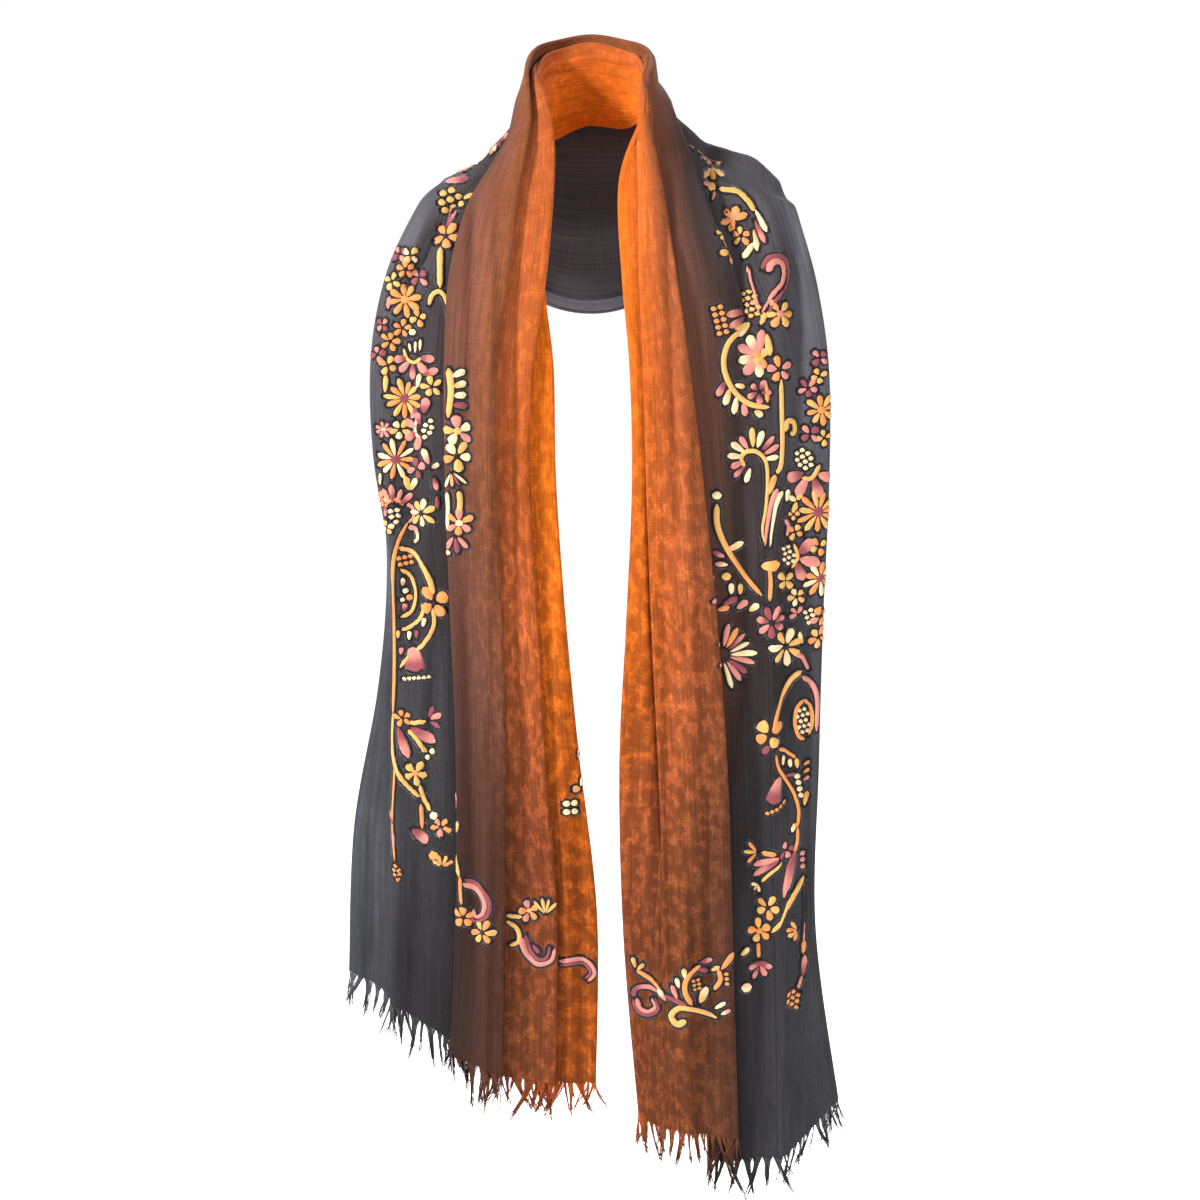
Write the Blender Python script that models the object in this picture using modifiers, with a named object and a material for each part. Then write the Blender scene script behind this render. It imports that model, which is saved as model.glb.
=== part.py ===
"""A fine wool stole worn round the neck, with both ends hanging down the front.

The cloth is one long band. Each cross-section of the band is a row of five strips, A to E, counted
from the neck outwards, with a pleat between each strip and the next. The sections ride on a path
that starts at the nape, turns round the neck, passes over the shoulder and hangs to the hem. The
origin is the middle of the nape, where the cloth is held. +Z is up and the front faces -Y.
"""

import bpy
import numpy as np

# Driving dimensions, in metres
WALL = 0.0015
SEAM_GAP = 0.0019
LAYER = 0.0040  # from one layer of a pleat to the next
ROUNDING = 0.0060  # how far a pleat's bend reaches along its strip
BODY_GAP = 0.0010
CURL = 1.0  # how fast the front turns back towards the arms, per metre
ROLL_WIDTH = 0.030
E_LAP = 0.014
AB_LAP = 0.55  # a pleat's lap, as a share of the strip that it lies under
AB_LAP_RIGHT = 0.35
BC_LAP_LEFT = 0.40
BC_LAP_RIGHT = 0.45
CD_LAP = 0.42
AB_OPENING = 0.008  # how far apart the strips lie where a pleat is open
BC_OPENING = 0.003
CD_OPENING = 0.012
BACK_TUCK = 0.65  # how much narrower the hidden back is where the right pleats change places
HEM_STRIP = 0.0030
STRAND_COUNT = 56
STRAND_ROOT = 0.0026
STRAND_TIP = 0.0012
STRAND_LENGTH = 0.030
STRAND_SPREAD = 0.010  # how much longer or shorter the strands are
STRAND_LEAN = 0.006

# The path, shared by both sides: out from the middle, back, and up; the section's outward axis,
# turned from the side towards the back and dropped below level; the height of the roll; and how
# much wider and lower the right side's path lies.
PATH = {
    "nape": (0.000, -0.001, 0.062, 90, 78, 78, 0.003, 0.000, 0.000),
    "nape_side": (0.022, -0.007, 0.053, 62, 74, 74, 0.003, 0.000, 0.000),
    "neck_back": (0.030, -0.026, 0.036, 28, 64, 62, 0.006, 0.000, 0.001),
    "neck_side": (0.031, -0.060, 0.004, 2, 48, 28, 0.018, 0.004, 0.010),
    "shoulder": (0.042, -0.098, -0.032, 0, 31, 21, 0.012, 0.004, 0.006),
    "collarbone": (0.060, -0.124, -0.085, 0, 10, 8, 0.005, 0.000, 0.000),
    "chest_top": (0.060, -0.146, -0.160, 0, 0, 0, 0.002, 0.000, 0.000),
    "chest": (0.060, -0.156, -0.240, 0, 0, 0, 0.000, 0.000, 0.000),
    "under_chest": (0.060, -0.158, -0.340, 0, 0, 0, 0.000, 0.000, 0.000),
    "waist": (0.060, -0.156, -0.460, 0, 0, 0, 0.000, 0.000, 0.000),
    "hip_top": (0.060, -0.152, -0.590, 0, 0, 0, 0.000, 0.000, 0.000),
    "hip": (0.060, -0.148, -0.745, 0, 0, 0, 0.000, 0.000, 0.000),
    "hem": (0.060, -0.145, -0.907, 0, 0, 0, 0.000, 0.000, 0.000),
}
# The same path's first row on the other side of the nape
PATH_MIRROR = ((-1, 1, 1, -1, 1, 1, 1, 1, 1), (0, 0, 0, 180, 0, 0, 0, 0, 0))

# The folds, a row for each section: how far out from the path strip A starts, where each pleat
# shows between two strips, where strip D's outer fold is, and where strip E ends.
FOLD_COLUMNS = ("a", "ab", "bc", "cd", "de", "e")
LEFT_FOLDS = {
    "nape": (0.028, 0.013, 0.000, 0.065, 0.268, 0.264),
    "nape_side": (0.024, 0.012, 0.000, 0.055, 0.245, 0.241),
    "neck_back": (0.014, 0.006, 0.000, 0.036, 0.170, 0.166),
    "neck_side": (0.010, -0.002, 0.000, 0.024, 0.126, 0.122),
    "shoulder": (-0.006, -0.015, 0.000, 0.026, 0.104, 0.100),
    "collarbone": (-0.024, -0.028, 0.002, 0.046, 0.098, 0.094),
    "chest_top": (-0.018, -0.020, 0.013, 0.066, 0.123, 0.118),
    "chest": (-0.026, -0.008, 0.024, 0.071, 0.138, 0.134),
    "under_chest": (-0.028, -0.004, 0.025, 0.071, 0.137, 0.133),
    "waist": (-0.036, -0.011, 0.021, 0.068, 0.121, 0.126),
    "hip_top": (-0.048, -0.017, 0.018, 0.064, 0.122, 0.136),
    "hip": (-0.065, -0.028, 0.020, 0.064, 0.126, 0.161),
    "hem": (-0.064, -0.026, 0.023, 0.071, 0.128, 0.168),
}
RIGHT_FOLDS = {
    "nape": (0.028, 0.013, 0.000, 0.065, 0.268, 0.264),
    "nape_side": (0.024, 0.012, 0.000, 0.056, 0.245, 0.239),
    "neck_back": (0.012, 0.004, 0.000, 0.040, 0.180, 0.168),
    "neck_side": (0.008, -0.003, 0.000, 0.036, 0.152, 0.131),
    "shoulder": (-0.009, -0.012, 0.000, 0.042, 0.143, 0.121),
    "collarbone": (-0.036, -0.019, 0.003, 0.044, 0.130, 0.102),
    "chest_top": (-0.032, -0.017, 0.017, 0.073, 0.144, 0.111),
    "chest": (-0.025, -0.013, 0.029, 0.082, 0.155, 0.122),
    "under_chest": (-0.023, -0.010, 0.042, 0.090, 0.156, 0.122),
    "waist": (-0.028, -0.005, 0.055, 0.095, 0.152, 0.120),
    "hip_top": (-0.034, 0.002, 0.065, 0.100, 0.150, 0.120),
    "hip": (-0.030, 0.008, 0.071, 0.105, 0.149, 0.125),
    "hem": (-0.016, 0.015, 0.077, 0.110, 0.173, 0.155),
}

# How far each fold's hem rises above the lowest point, and how much lower the right hem is
LEFT_RISE = dict(back=0.050, a=0.000, ab=0.002, bc=0.012, cd=0.032, de=0.075, e=0.100)
RIGHT_RISE = dict(back=0.040, a=0.045, ab=0.034, bc=0.023, cd=0.000, de=0.050, e=0.045)
RIGHT_LONGER = 0.073
RISE_CURVE = 1.3

# The layer that each strip lies on, counted outwards from the body
LEFT_LAYERS = dict(back=-4.0, a=-3.0, b=-1.0, c=1.0, d=-1.0, e=-3.0)
RIGHT_LAYERS = dict(back=-2.0, a=-1.0, b=1.0, c=-1.0, d=-3.0, e=-5.0)

# Stations, in rows of the tables
SHOULDER = 4.45  # where the fronts meet the neck stretch
HEM = 12.0
FRONT_ROWS = 17
NECK_ROWS = 12

BROWN = (0.150, 0.065, 0.040)
ORANGE = (0.480, 0.120, 0.030)
GREY = (0.075, 0.070, 0.078)


def soft_step(low, high, value):
    """0 below low, 1 above high, and a soft rise between them."""
    share = np.clip((value - low) / (high - low), 0.0, 1.0)
    return share * share * (3.0 - 2.0 * share)


def read_rows(rows, station, mirror=None):
    """The table's columns at each station, on a smooth curve through the rows."""
    table = np.array(list(rows.values()), dtype=float)
    factor, shift = mirror or (1.0, 0.0)
    table = np.vstack((table[1] * factor + shift, table, table[-1:]))
    row = np.clip(np.floor(station).astype(int), 0, len(rows) - 2)
    share = (station - row)[:, None]
    before, start, end, after = (table[row + offset] for offset in range(4))
    slope, next_slope = (end - before) / 2.0, (after - start) / 2.0
    return (
        (2 * share**3 - 3 * share**2 + 1) * start
        + (share**3 - 2 * share**2 + share) * slope
        + (3 * share**2 - 2 * share**3) * end
        + (share**3 - share**2) * next_slope
    )


def fold_corners(side, station):
    """Each section's corners: distance out, height in layers, and rise of the hem.

    A strip runs from its start to its end on its own layer. Between two strips the cloth turns
    back on the layer half way between theirs. On the right, strip B passes from behind strip C to
    in front of it beside the neck, where that pleat lies open, and two pleats open lower down.
    """
    right = 1.0 if side > 0 else 0.0
    rise = RIGHT_RISE if right else LEFT_RISE
    fold = dict(zip(FOLD_COLUMNS, read_rows(RIGHT_FOLDS if right else LEFT_FOLDS, station).T))
    swapped = soft_step(2.6, 3.8, station) * right
    open_cd = soft_step(5.4, 7.0, station) * right
    open_ab = soft_step(9.4, 11.0, station) * right
    tucked = 1.0 - soft_step(0.8, 2.4, station) * (1.0 - soft_step(3.6, 5.2, station)) * right
    layer = {
        name: low + (RIGHT_LAYERS[name] - low) * swapped for name, low in LEFT_LAYERS.items()
    }
    layer["a"] = layer["a"] + open_ab
    layer["d"] = layer["d"] + 2.0 * open_cd
    layer["e"] = layer["e"] + open_cd
    layer["back"] = layer["back"] - 2.0 * open_cd
    b_width = fold["bc"] - fold["ab"]
    c_width = fold["cd"] - fold["bc"]
    lessened = soft_step(0.0, 3.0, station) * right
    lap_ab = (AB_LAP + (AB_LAP_RIGHT - AB_LAP) * lessened) * b_width
    lap_ab = lap_ab * (1.0 - open_ab) - AB_OPENING * open_ab
    lap_bc = np.where(swapped > 0.5, BC_LAP_RIGHT * b_width, BC_LAP_LEFT * c_width)
    lap_bc = lap_bc * tucked - BC_OPENING * (1.0 - tucked)
    lap_cd = CD_LAP * c_width * (1.0 - open_cd) - CD_OPENING * open_cd
    back_share = (0.75 - 0.40 * lessened + 0.42 * open_cd) * (0.3 + 0.7 * soft_step(0, 5, station))
    back_share = back_share * (1.0 - BACK_TUCK * swapped * (1.0 - open_cd))
    back_end = fold["a"] + back_share * (fold["de"] - fold["a"])
    c_rise = rise["cd"] if right else rise["bc"]
    strips = (
        ("a", fold["a"], fold["ab"] + lap_ab, rise["a"], rise["ab"]),
        ("b", fold["ab"], fold["bc"] + lap_bc * (1.0 - swapped), rise["ab"], rise["bc"]),
        ("c", fold["bc"] - lap_bc * swapped, fold["cd"], c_rise, rise["cd"]),
        ("d", fold["cd"] - lap_cd, fold["de"], rise["cd"], rise["de"]),
        ("e", fold["de"] - E_LAP, fold["e"], rise["de"], rise["e"]),
    )
    corners = [(back_end, layer["back"], rise["back"]), (fold["a"], layer["back"], rise["a"])]
    for index, (name, start, end, start_rise, end_rise) in enumerate(strips):
        if index:
            last_name, _, last_end, _, last_rise = strips[index - 1]
            between = (layer[last_name] + layer[name]) / 2.0
            corners.append((last_end, between, last_rise))
            corners.append((start, between, start_rise))
        corners.append((start, layer[name], start_rise))
        corners.append((end, layer[name], end_rise))
    level = np.zeros_like(station)
    return np.array([[part + level for part in corner] for corner in corners]).transpose(2, 0, 1)


def path_origin(side, at):
    """The path's points on one side, from its rows."""
    right = 1.0 if side > 0 else 0.0
    out = at[:, 0] + at[:, 7] * right
    return np.stack((side * out, at[:, 1], at[:, 2] - at[:, 8] * right), axis=1)


def place(side, station, flat):
    """Points in space of sections given as distance out, height in layers and rise."""
    step = 0.01
    at = read_rows(PATH, station, PATH_MIRROR)
    ahead = read_rows(PATH, np.minimum(station + step, HEM), PATH_MIRROR)
    behind = read_rows(PATH, np.maximum(station - step, 0.0), PATH_MIRROR)
    origin = path_origin(side, at)
    travel = path_origin(side, ahead) - path_origin(side, behind)
    travel[station < step] = (side, 0.0, 0.0)
    turn = np.radians(at[:, 3])
    drop = np.radians(at[:, 5] if side > 0 else at[:, 4])
    level = np.stack((side * np.cos(turn), np.sin(turn), 0.0 * turn), axis=1)
    outward = level * np.cos(drop)[:, None] - np.sin(drop)[:, None] * np.array([0.0, 0.0, 1.0])
    normal = side * np.cross(travel, outward)
    normal /= np.linalg.norm(normal, axis=1)[:, None]
    out, high, rise = flat[..., 0], flat[..., 1], flat[..., 2]
    roll = at[:, 6][:, None] * np.exp(-((out / ROLL_WIDTH) ** 2))
    curl = CURL * soft_step(3.5, 6.0, station)[:, None] * np.maximum(out, 0.0) ** 2
    lift = BODY_GAP + WALL / 2.0 + (high + 4.0) * LAYER + roll - curl
    points = origin[:, None] + outward[:, None] * out[..., None] + normal[:, None] * lift[..., None]
    hang = np.clip(at[:, 2] / PATH["hem"][2], 0.0, 1.0)[:, None] ** RISE_CURVE
    points[..., 2] += hang * (rise - (RIGHT_LONGER if side > 0 else 0.0))
    return points


def section_points(side, station):
    """A grid of points: a row for each station and a column for each step along the section.

    Each corner is rounded by a quadratic curve of three points, and a strip has one point more
    at its middle.
    """
    corners = fold_corners(side, station)
    run = np.diff(corners, axis=1)
    length = np.linalg.norm(run * (1.0, LAYER, 0.0), axis=2)
    reach = np.minimum(ROUNDING, 0.5 * length) / np.maximum(length, 1e-9)
    enter = corners[:, 1:-1] - run[:, :-1] * reach[:, :-1, None]
    leave = corners[:, 1:-1] + run[:, 1:] * reach[:, 1:, None]
    bend = (enter + leave) / 4.0 + corners[:, 1:-1] / 2.0
    columns = [corners[:, 0]]
    for index in range(corners.shape[1] - 2):
        is_level = index % 2 == 0
        if index == 0 or index % 4 == 2:
            columns.append((columns[-1] + enter[:, index]) / 2.0)
        if is_level:
            columns.append(enter[:, index])
        columns.append(bend[:, index])
        columns.append(leave[:, index])
    columns.append(corners[:, -1])
    return place(side, station, np.stack(columns, axis=1))


def towards(points, goal, distance):
    """The points moved by a distance towards the goal's points."""
    away = goal - points
    return points + away * (distance / np.linalg.norm(away, axis=-1))[..., None]


def make_material(name, colour):
    """A plain cloth material."""
    material = bpy.data.materials.new(name)
    material.use_nodes = True
    shader = material.node_tree.nodes["Principled BSDF"]
    shader.inputs["Base Color"].default_value = (*colour, 1.0)
    shader.inputs["Roughness"].default_value = 0.9
    shader.inputs["Metallic"].default_value = 0.0
    return material


def add_wall(name, points, faces, material, collection):
    """An open surface, with a wall given to it by Solidify."""
    mesh = bpy.data.meshes.new(name)
    mesh.from_pydata(points.tolist(), [], faces.tolist())
    mesh.shade_smooth()
    mesh.materials.append(material)
    part = bpy.data.objects.new(name, mesh)
    collection.objects.link(part)
    solidify = part.modifiers.new("Wall", "SOLIDIFY")
    solidify.thickness = WALL
    solidify.offset = 0.0


def grid_faces(index):
    """The quads of a grid of vertex numbers."""
    corners = (index[:-1, :-1], index[:-1, 1:], index[1:, 1:], index[1:, :-1])
    return np.stack(corners, axis=-1).reshape(-1, 4)


def add_stretch(name, points, material, collection):
    """A stretch of the cloth over its grid of points."""
    index = np.arange(points.shape[0] * points.shape[1]).reshape(points.shape[:2])
    add_wall(name, points.reshape(-1, 3), grid_faces(index), material, collection)


def add_fringe(name, hem, material, collection):
    """Strands on a narrow strip that follows the hem, parted from it by the seam's gap.

    The strip's columns take turns: one carries a strand, the next is the gap beside it.
    """
    step = np.linalg.norm(np.diff(hem, axis=0), axis=1)
    along = np.concatenate(([0.0], np.cumsum(step)))
    pitch = along[-1] / STRAND_COUNT
    roots = (np.arange(STRAND_COUNT) + 0.5) * pitch
    edges = np.stack((roots - STRAND_ROOT / 2.0, roots + STRAND_ROOT / 2.0), axis=1).ravel()
    edges = np.concatenate(([0.0], edges, [along[-1]]))
    curve = np.stack([np.interp(edges, along, hem[:, axis]) for axis in range(3)], axis=1)
    down = np.array([0.0, 0.0, -1.0])
    top = curve + down * SEAM_GAP
    foot = top + down * HEM_STRIP
    count = len(edges)
    points = [top, foot]
    faces = [grid_faces(np.arange(2 * count).reshape(2, count))]
    left = count + 1 + 2 * np.arange(STRAND_COUNT)
    root = np.stack((left, left + 1), axis=1)
    number = np.arange(STRAND_COUNT)
    spread = np.sin(number * 2.4) * 0.6 + np.sin(number * 0.7) * 0.4
    sway = np.sin(number * 1.7 + 0.5)
    across = curve[2::2][:STRAND_COUNT] - curve[1::2][:STRAND_COUNT]
    across /= np.linalg.norm(across, axis=1)[:, None]
    middle = (foot[1:-1:2] + foot[2:-1:2]) / 2.0
    base = 2 * count
    for share in (0.5, 1.0):
        length = (STRAND_LENGTH + STRAND_SPREAD * spread) * share
        lean = STRAND_LEAN * sway * share**2
        centre = middle + down * length[:, None] + across * lean[:, None]
        half = (STRAND_ROOT + (STRAND_TIP - STRAND_ROOT) * share) / 2.0
        points.append(np.stack((centre - across * half, centre + across * half), 1).reshape(-1, 3))
        end = base + np.arange(2 * STRAND_COUNT).reshape(STRAND_COUNT, 2)
        faces.append(np.stack((root[:, 0], root[:, 1], end[:, 1], end[:, 0]), axis=1))
        root = end
        base += 2 * STRAND_COUNT
    add_wall(name, np.concatenate(points), np.concatenate(faces), material, collection)


def main():
    """Builds the stole."""
    for old in list(bpy.data.objects):
        bpy.data.objects.remove(old, do_unlink=True)
    stole = bpy.data.collections.new("embroidered_stole")
    bpy.context.scene.collection.children.link(stole)
    brown = make_material("Brown wool", BROWN)
    orange = make_material("Orange wool", ORANGE)
    grey = make_material("Grey fringe", GREY)

    down_front = np.linspace(SHOULDER, HEM, FRONT_ROWS)
    for word, side, material in (("left", -1.0, orange), ("right", 1.0, brown)):
        points = section_points(side, down_front)
        if side > 0:
            points = points[:, ::-1]
        add_stretch(f"front_{word}", points, material, stole)
        add_fringe(f"fringe_{word}", points[-1], grey, stole)

    round_neck = np.linspace(0.0, SHOULDER, NECK_ROWS)
    left = section_points(-1.0, round_neck)[::-1]
    right = section_points(1.0, round_neck)
    left[0] = towards(left[0], left[1], SEAM_GAP)
    right[-1] = towards(right[-1], right[-2], SEAM_GAP)
    add_stretch("neck_wrap", np.concatenate((left, right[1:]))[::-1], brown, stole)


main()
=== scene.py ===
"""The looks of a fine wool stole, worn round the neck with both ends hanging down the front.

Lengths are in metres. +Z is up, the front faces -Y, and the origin is the middle of the nape.
"""

import math

import bpy
import numpy as np
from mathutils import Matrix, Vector


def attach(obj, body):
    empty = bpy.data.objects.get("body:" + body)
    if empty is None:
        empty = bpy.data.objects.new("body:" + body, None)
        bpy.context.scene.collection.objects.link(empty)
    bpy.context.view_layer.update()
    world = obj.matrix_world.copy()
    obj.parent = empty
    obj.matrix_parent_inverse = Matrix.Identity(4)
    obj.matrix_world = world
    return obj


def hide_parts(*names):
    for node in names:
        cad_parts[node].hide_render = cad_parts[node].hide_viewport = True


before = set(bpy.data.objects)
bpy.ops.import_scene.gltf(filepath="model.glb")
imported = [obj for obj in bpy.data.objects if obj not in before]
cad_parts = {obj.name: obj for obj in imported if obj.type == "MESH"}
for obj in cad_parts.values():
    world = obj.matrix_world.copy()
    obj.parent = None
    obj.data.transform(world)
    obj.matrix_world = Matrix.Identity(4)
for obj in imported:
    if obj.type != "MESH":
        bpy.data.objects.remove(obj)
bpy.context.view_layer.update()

# The drape
# The stole is one band of fine wool, 0.55 m by 2 m, folded lengthwise into five soft strips and
# hung round the neck. The strips are named A to E from the neck outwards, with a pleat between
# each strip and the next, as in the solids that the cloth replaces.
CLOTH_WALL = 0.0009
SOLID_WALL = 0.0015
LAYER = 0.0040
LOWEST_LAYER = -4.0  # it lies on the body, past the gap
BODY_GAP = 0.0010
ROUNDING = 0.0060
CURL = 1.0  # how fast the cloth falls away towards the arms
ROLL_WIDTH = 0.030  # half the width of the roll round the neck
E_LAP = 0.014
AB_LAP = 0.55  # a pleat's lap, as a share of the strip that it lies under
AB_LAP_RIGHT = 0.35
BC_LAP_LEFT = 0.40
BC_LAP_RIGHT = 0.45
CD_LAP = 0.42
AB_OPENING = 0.008  # how far apart the strips lie where a pleat is open
BC_OPENING = 0.003
CD_OPENING = 0.012
BACK_SHARE = 0.75  # how far the hidden back reaches, as a share of the way from A to E's fold
BACK_LESS = 0.40  # the same, how much less on the right
BACK_MORE = 0.42  # and how much more where the pleat between C and D is open
BACK_AT_NAPE = 0.3  # the share of this that it has at the nape
BACK_TUCK = 0.65  # how much narrower the hidden back is where the right pleats change places
RISE_CURVE = 1.3  # how late on the way down the hem's rise and fall starts to show
RIGHT_LONGER = 0.073
SHOULDER = 4.45  # stations count the rows of the tables below
HEM = 12.0
SWAP = (2.6, 3.8)  # where the right strip B comes in front of strip C
EDGES_PART = (0.8, 2.4)  # where the right strips B and C come to lie edge to edge
EDGES_LAP = (3.6, 5.2)  # where they lap again
OPEN_CD = (5.4, 7.0)  # where the right pleat between C and D opens
OPEN_AB = (9.4, 11.0)  # where the right pleat between A and B opens
RIGHT_LAPS = (0.0, 3.0)  # where the right pleats take up their own laps
BACK_GROWS = (0.0, 5.0)  # where the hidden back grows to its full width
CURL_STARTS = (3.5, 6.0)  # where the cloth starts to curl towards the arms

# The path from the nape to the hem: out from the middle, back, and up; the cross-section's outward
# axis, turned from the side towards the back and dropped below level; the height of the roll; and
# how much wider and lower the right side's path lies.
PATH = {
    "nape": (0.000, -0.001, 0.062, 90, 78, 78, 0.003, 0.000, 0.000),
    "nape_side": (0.022, -0.007, 0.053, 62, 74, 74, 0.003, 0.000, 0.000),
    "neck_back": (0.030, -0.026, 0.036, 28, 64, 62, 0.006, 0.000, 0.001),
    "neck_side": (0.031, -0.060, 0.004, 2, 48, 28, 0.018, 0.004, 0.010),
    "shoulder": (0.042, -0.098, -0.032, 0, 31, 21, 0.012, 0.004, 0.006),
    "collarbone": (0.060, -0.124, -0.085, 0, 10, 8, 0.005, 0.000, 0.000),
    "chest_top": (0.060, -0.146, -0.160, 0, 0, 0, 0.002, 0.000, 0.000),
    "chest": (0.060, -0.156, -0.240, 0, 0, 0, 0.000, 0.000, 0.000),
    "under_chest": (0.060, -0.158, -0.340, 0, 0, 0, 0.000, 0.000, 0.000),
    "waist": (0.060, -0.156, -0.460, 0, 0, 0, 0.000, 0.000, 0.000),
    "hip_top": (0.060, -0.152, -0.590, 0, 0, 0, 0.000, 0.000, 0.000),
    "hip": (0.060, -0.148, -0.745, 0, 0, 0, 0.000, 0.000, 0.000),
    "hem": (0.060, -0.145, -0.907, 0, 0, 0, 0.000, 0.000, 0.000),
}
PATH_MIRROR = ((-1, 1, 1, -1, 1, 1, 1, 1, 1), (0, 0, 0, 180, 0, 0, 0, 0, 0))

# The folds, a row for each section: how far out from the path strip A starts, where each pleat
# shows between two strips, where strip D's outer fold is, and where strip E ends.
FOLD_COLUMNS = ("a", "ab", "bc", "cd", "de", "e")
LEFT_FOLDS = {
    "nape": (0.028, 0.013, 0.000, 0.065, 0.268, 0.264),
    "nape_side": (0.024, 0.012, 0.000, 0.055, 0.245, 0.241),
    "neck_back": (0.014, 0.006, 0.000, 0.036, 0.170, 0.166),
    "neck_side": (0.010, -0.002, 0.000, 0.024, 0.126, 0.122),
    "shoulder": (-0.006, -0.015, 0.000, 0.026, 0.104, 0.100),
    "collarbone": (-0.024, -0.028, 0.002, 0.046, 0.098, 0.094),
    "chest_top": (-0.018, -0.020, 0.013, 0.066, 0.123, 0.118),
    "chest": (-0.026, -0.008, 0.024, 0.071, 0.138, 0.134),
    "under_chest": (-0.028, -0.004, 0.025, 0.071, 0.137, 0.133),
    "waist": (-0.036, -0.011, 0.021, 0.068, 0.121, 0.126),
    "hip_top": (-0.048, -0.017, 0.018, 0.064, 0.122, 0.136),
    "hip": (-0.065, -0.028, 0.020, 0.064, 0.126, 0.161),
    "hem": (-0.064, -0.026, 0.023, 0.071, 0.128, 0.168),
}
RIGHT_FOLDS = {
    "nape": (0.028, 0.013, 0.000, 0.065, 0.268, 0.264),
    "nape_side": (0.024, 0.012, 0.000, 0.056, 0.245, 0.239),
    "neck_back": (0.012, 0.004, 0.000, 0.040, 0.180, 0.168),
    "neck_side": (0.008, -0.003, 0.000, 0.036, 0.152, 0.131),
    "shoulder": (-0.009, -0.012, 0.000, 0.042, 0.143, 0.121),
    "collarbone": (-0.036, -0.019, 0.003, 0.044, 0.130, 0.102),
    "chest_top": (-0.032, -0.017, 0.017, 0.073, 0.144, 0.111),
    "chest": (-0.025, -0.013, 0.029, 0.082, 0.155, 0.122),
    "under_chest": (-0.023, -0.010, 0.042, 0.090, 0.156, 0.122),
    "waist": (-0.028, -0.005, 0.055, 0.095, 0.152, 0.120),
    "hip_top": (-0.034, 0.002, 0.065, 0.100, 0.150, 0.120),
    "hip": (-0.030, 0.008, 0.071, 0.105, 0.149, 0.125),
    "hem": (-0.016, 0.015, 0.077, 0.110, 0.173, 0.155),
}
FOLDS = {-1.0: LEFT_FOLDS, 1.0: RIGHT_FOLDS}
LEFT_RISE = dict(back=0.050, a=0.000, ab=0.002, bc=0.012, cd=0.032, de=0.075, e=0.100)
RIGHT_RISE = dict(back=0.040, a=0.045, ab=0.034, bc=0.023, cd=0.000, de=0.050, e=0.045)
LEFT_LAYERS = dict(back=-4.0, a=-3.0, b=-1.0, c=1.0, d=-1.0, e=-3.0)
RIGHT_LAYERS = dict(back=-2.0, a=-1.0, b=1.0, c=-1.0, d=-3.0, e=-5.0)


def soft_step(low, high, value):
    """0 below low, 1 above high, and between them three times the share squared less twice its cube."""
    share = np.clip((value - low) / (high - low), 0.0, 1.0)
    return share * share * (3.0 - 2.0 * share)


def read_rows(rows, station, mirror=None):
    """The table's columns at each station: a cubic through the rows, whose slope at a row is half
    the difference between the rows on either side of it."""
    table = np.array(list(rows.values()), dtype=float)
    factor, shift = mirror or (1.0, 0.0)
    table = np.vstack((table[1] * factor + shift, table, table[-1:]))
    row = np.clip(np.floor(station).astype(int), 0, len(rows) - 2)
    share = (station - row)[:, None]
    before, start, end, after = (table[row + offset] for offset in range(4))
    slope, next_slope = (end - before) / 2.0, (after - start) / 2.0
    return (
        (2 * share**3 - 3 * share**2 + 1) * start
        + (share**3 - 2 * share**2 + share) * slope
        + (3 * share**2 - 2 * share**3) * end
        + (share**3 - share**2) * next_slope
    )


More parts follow.
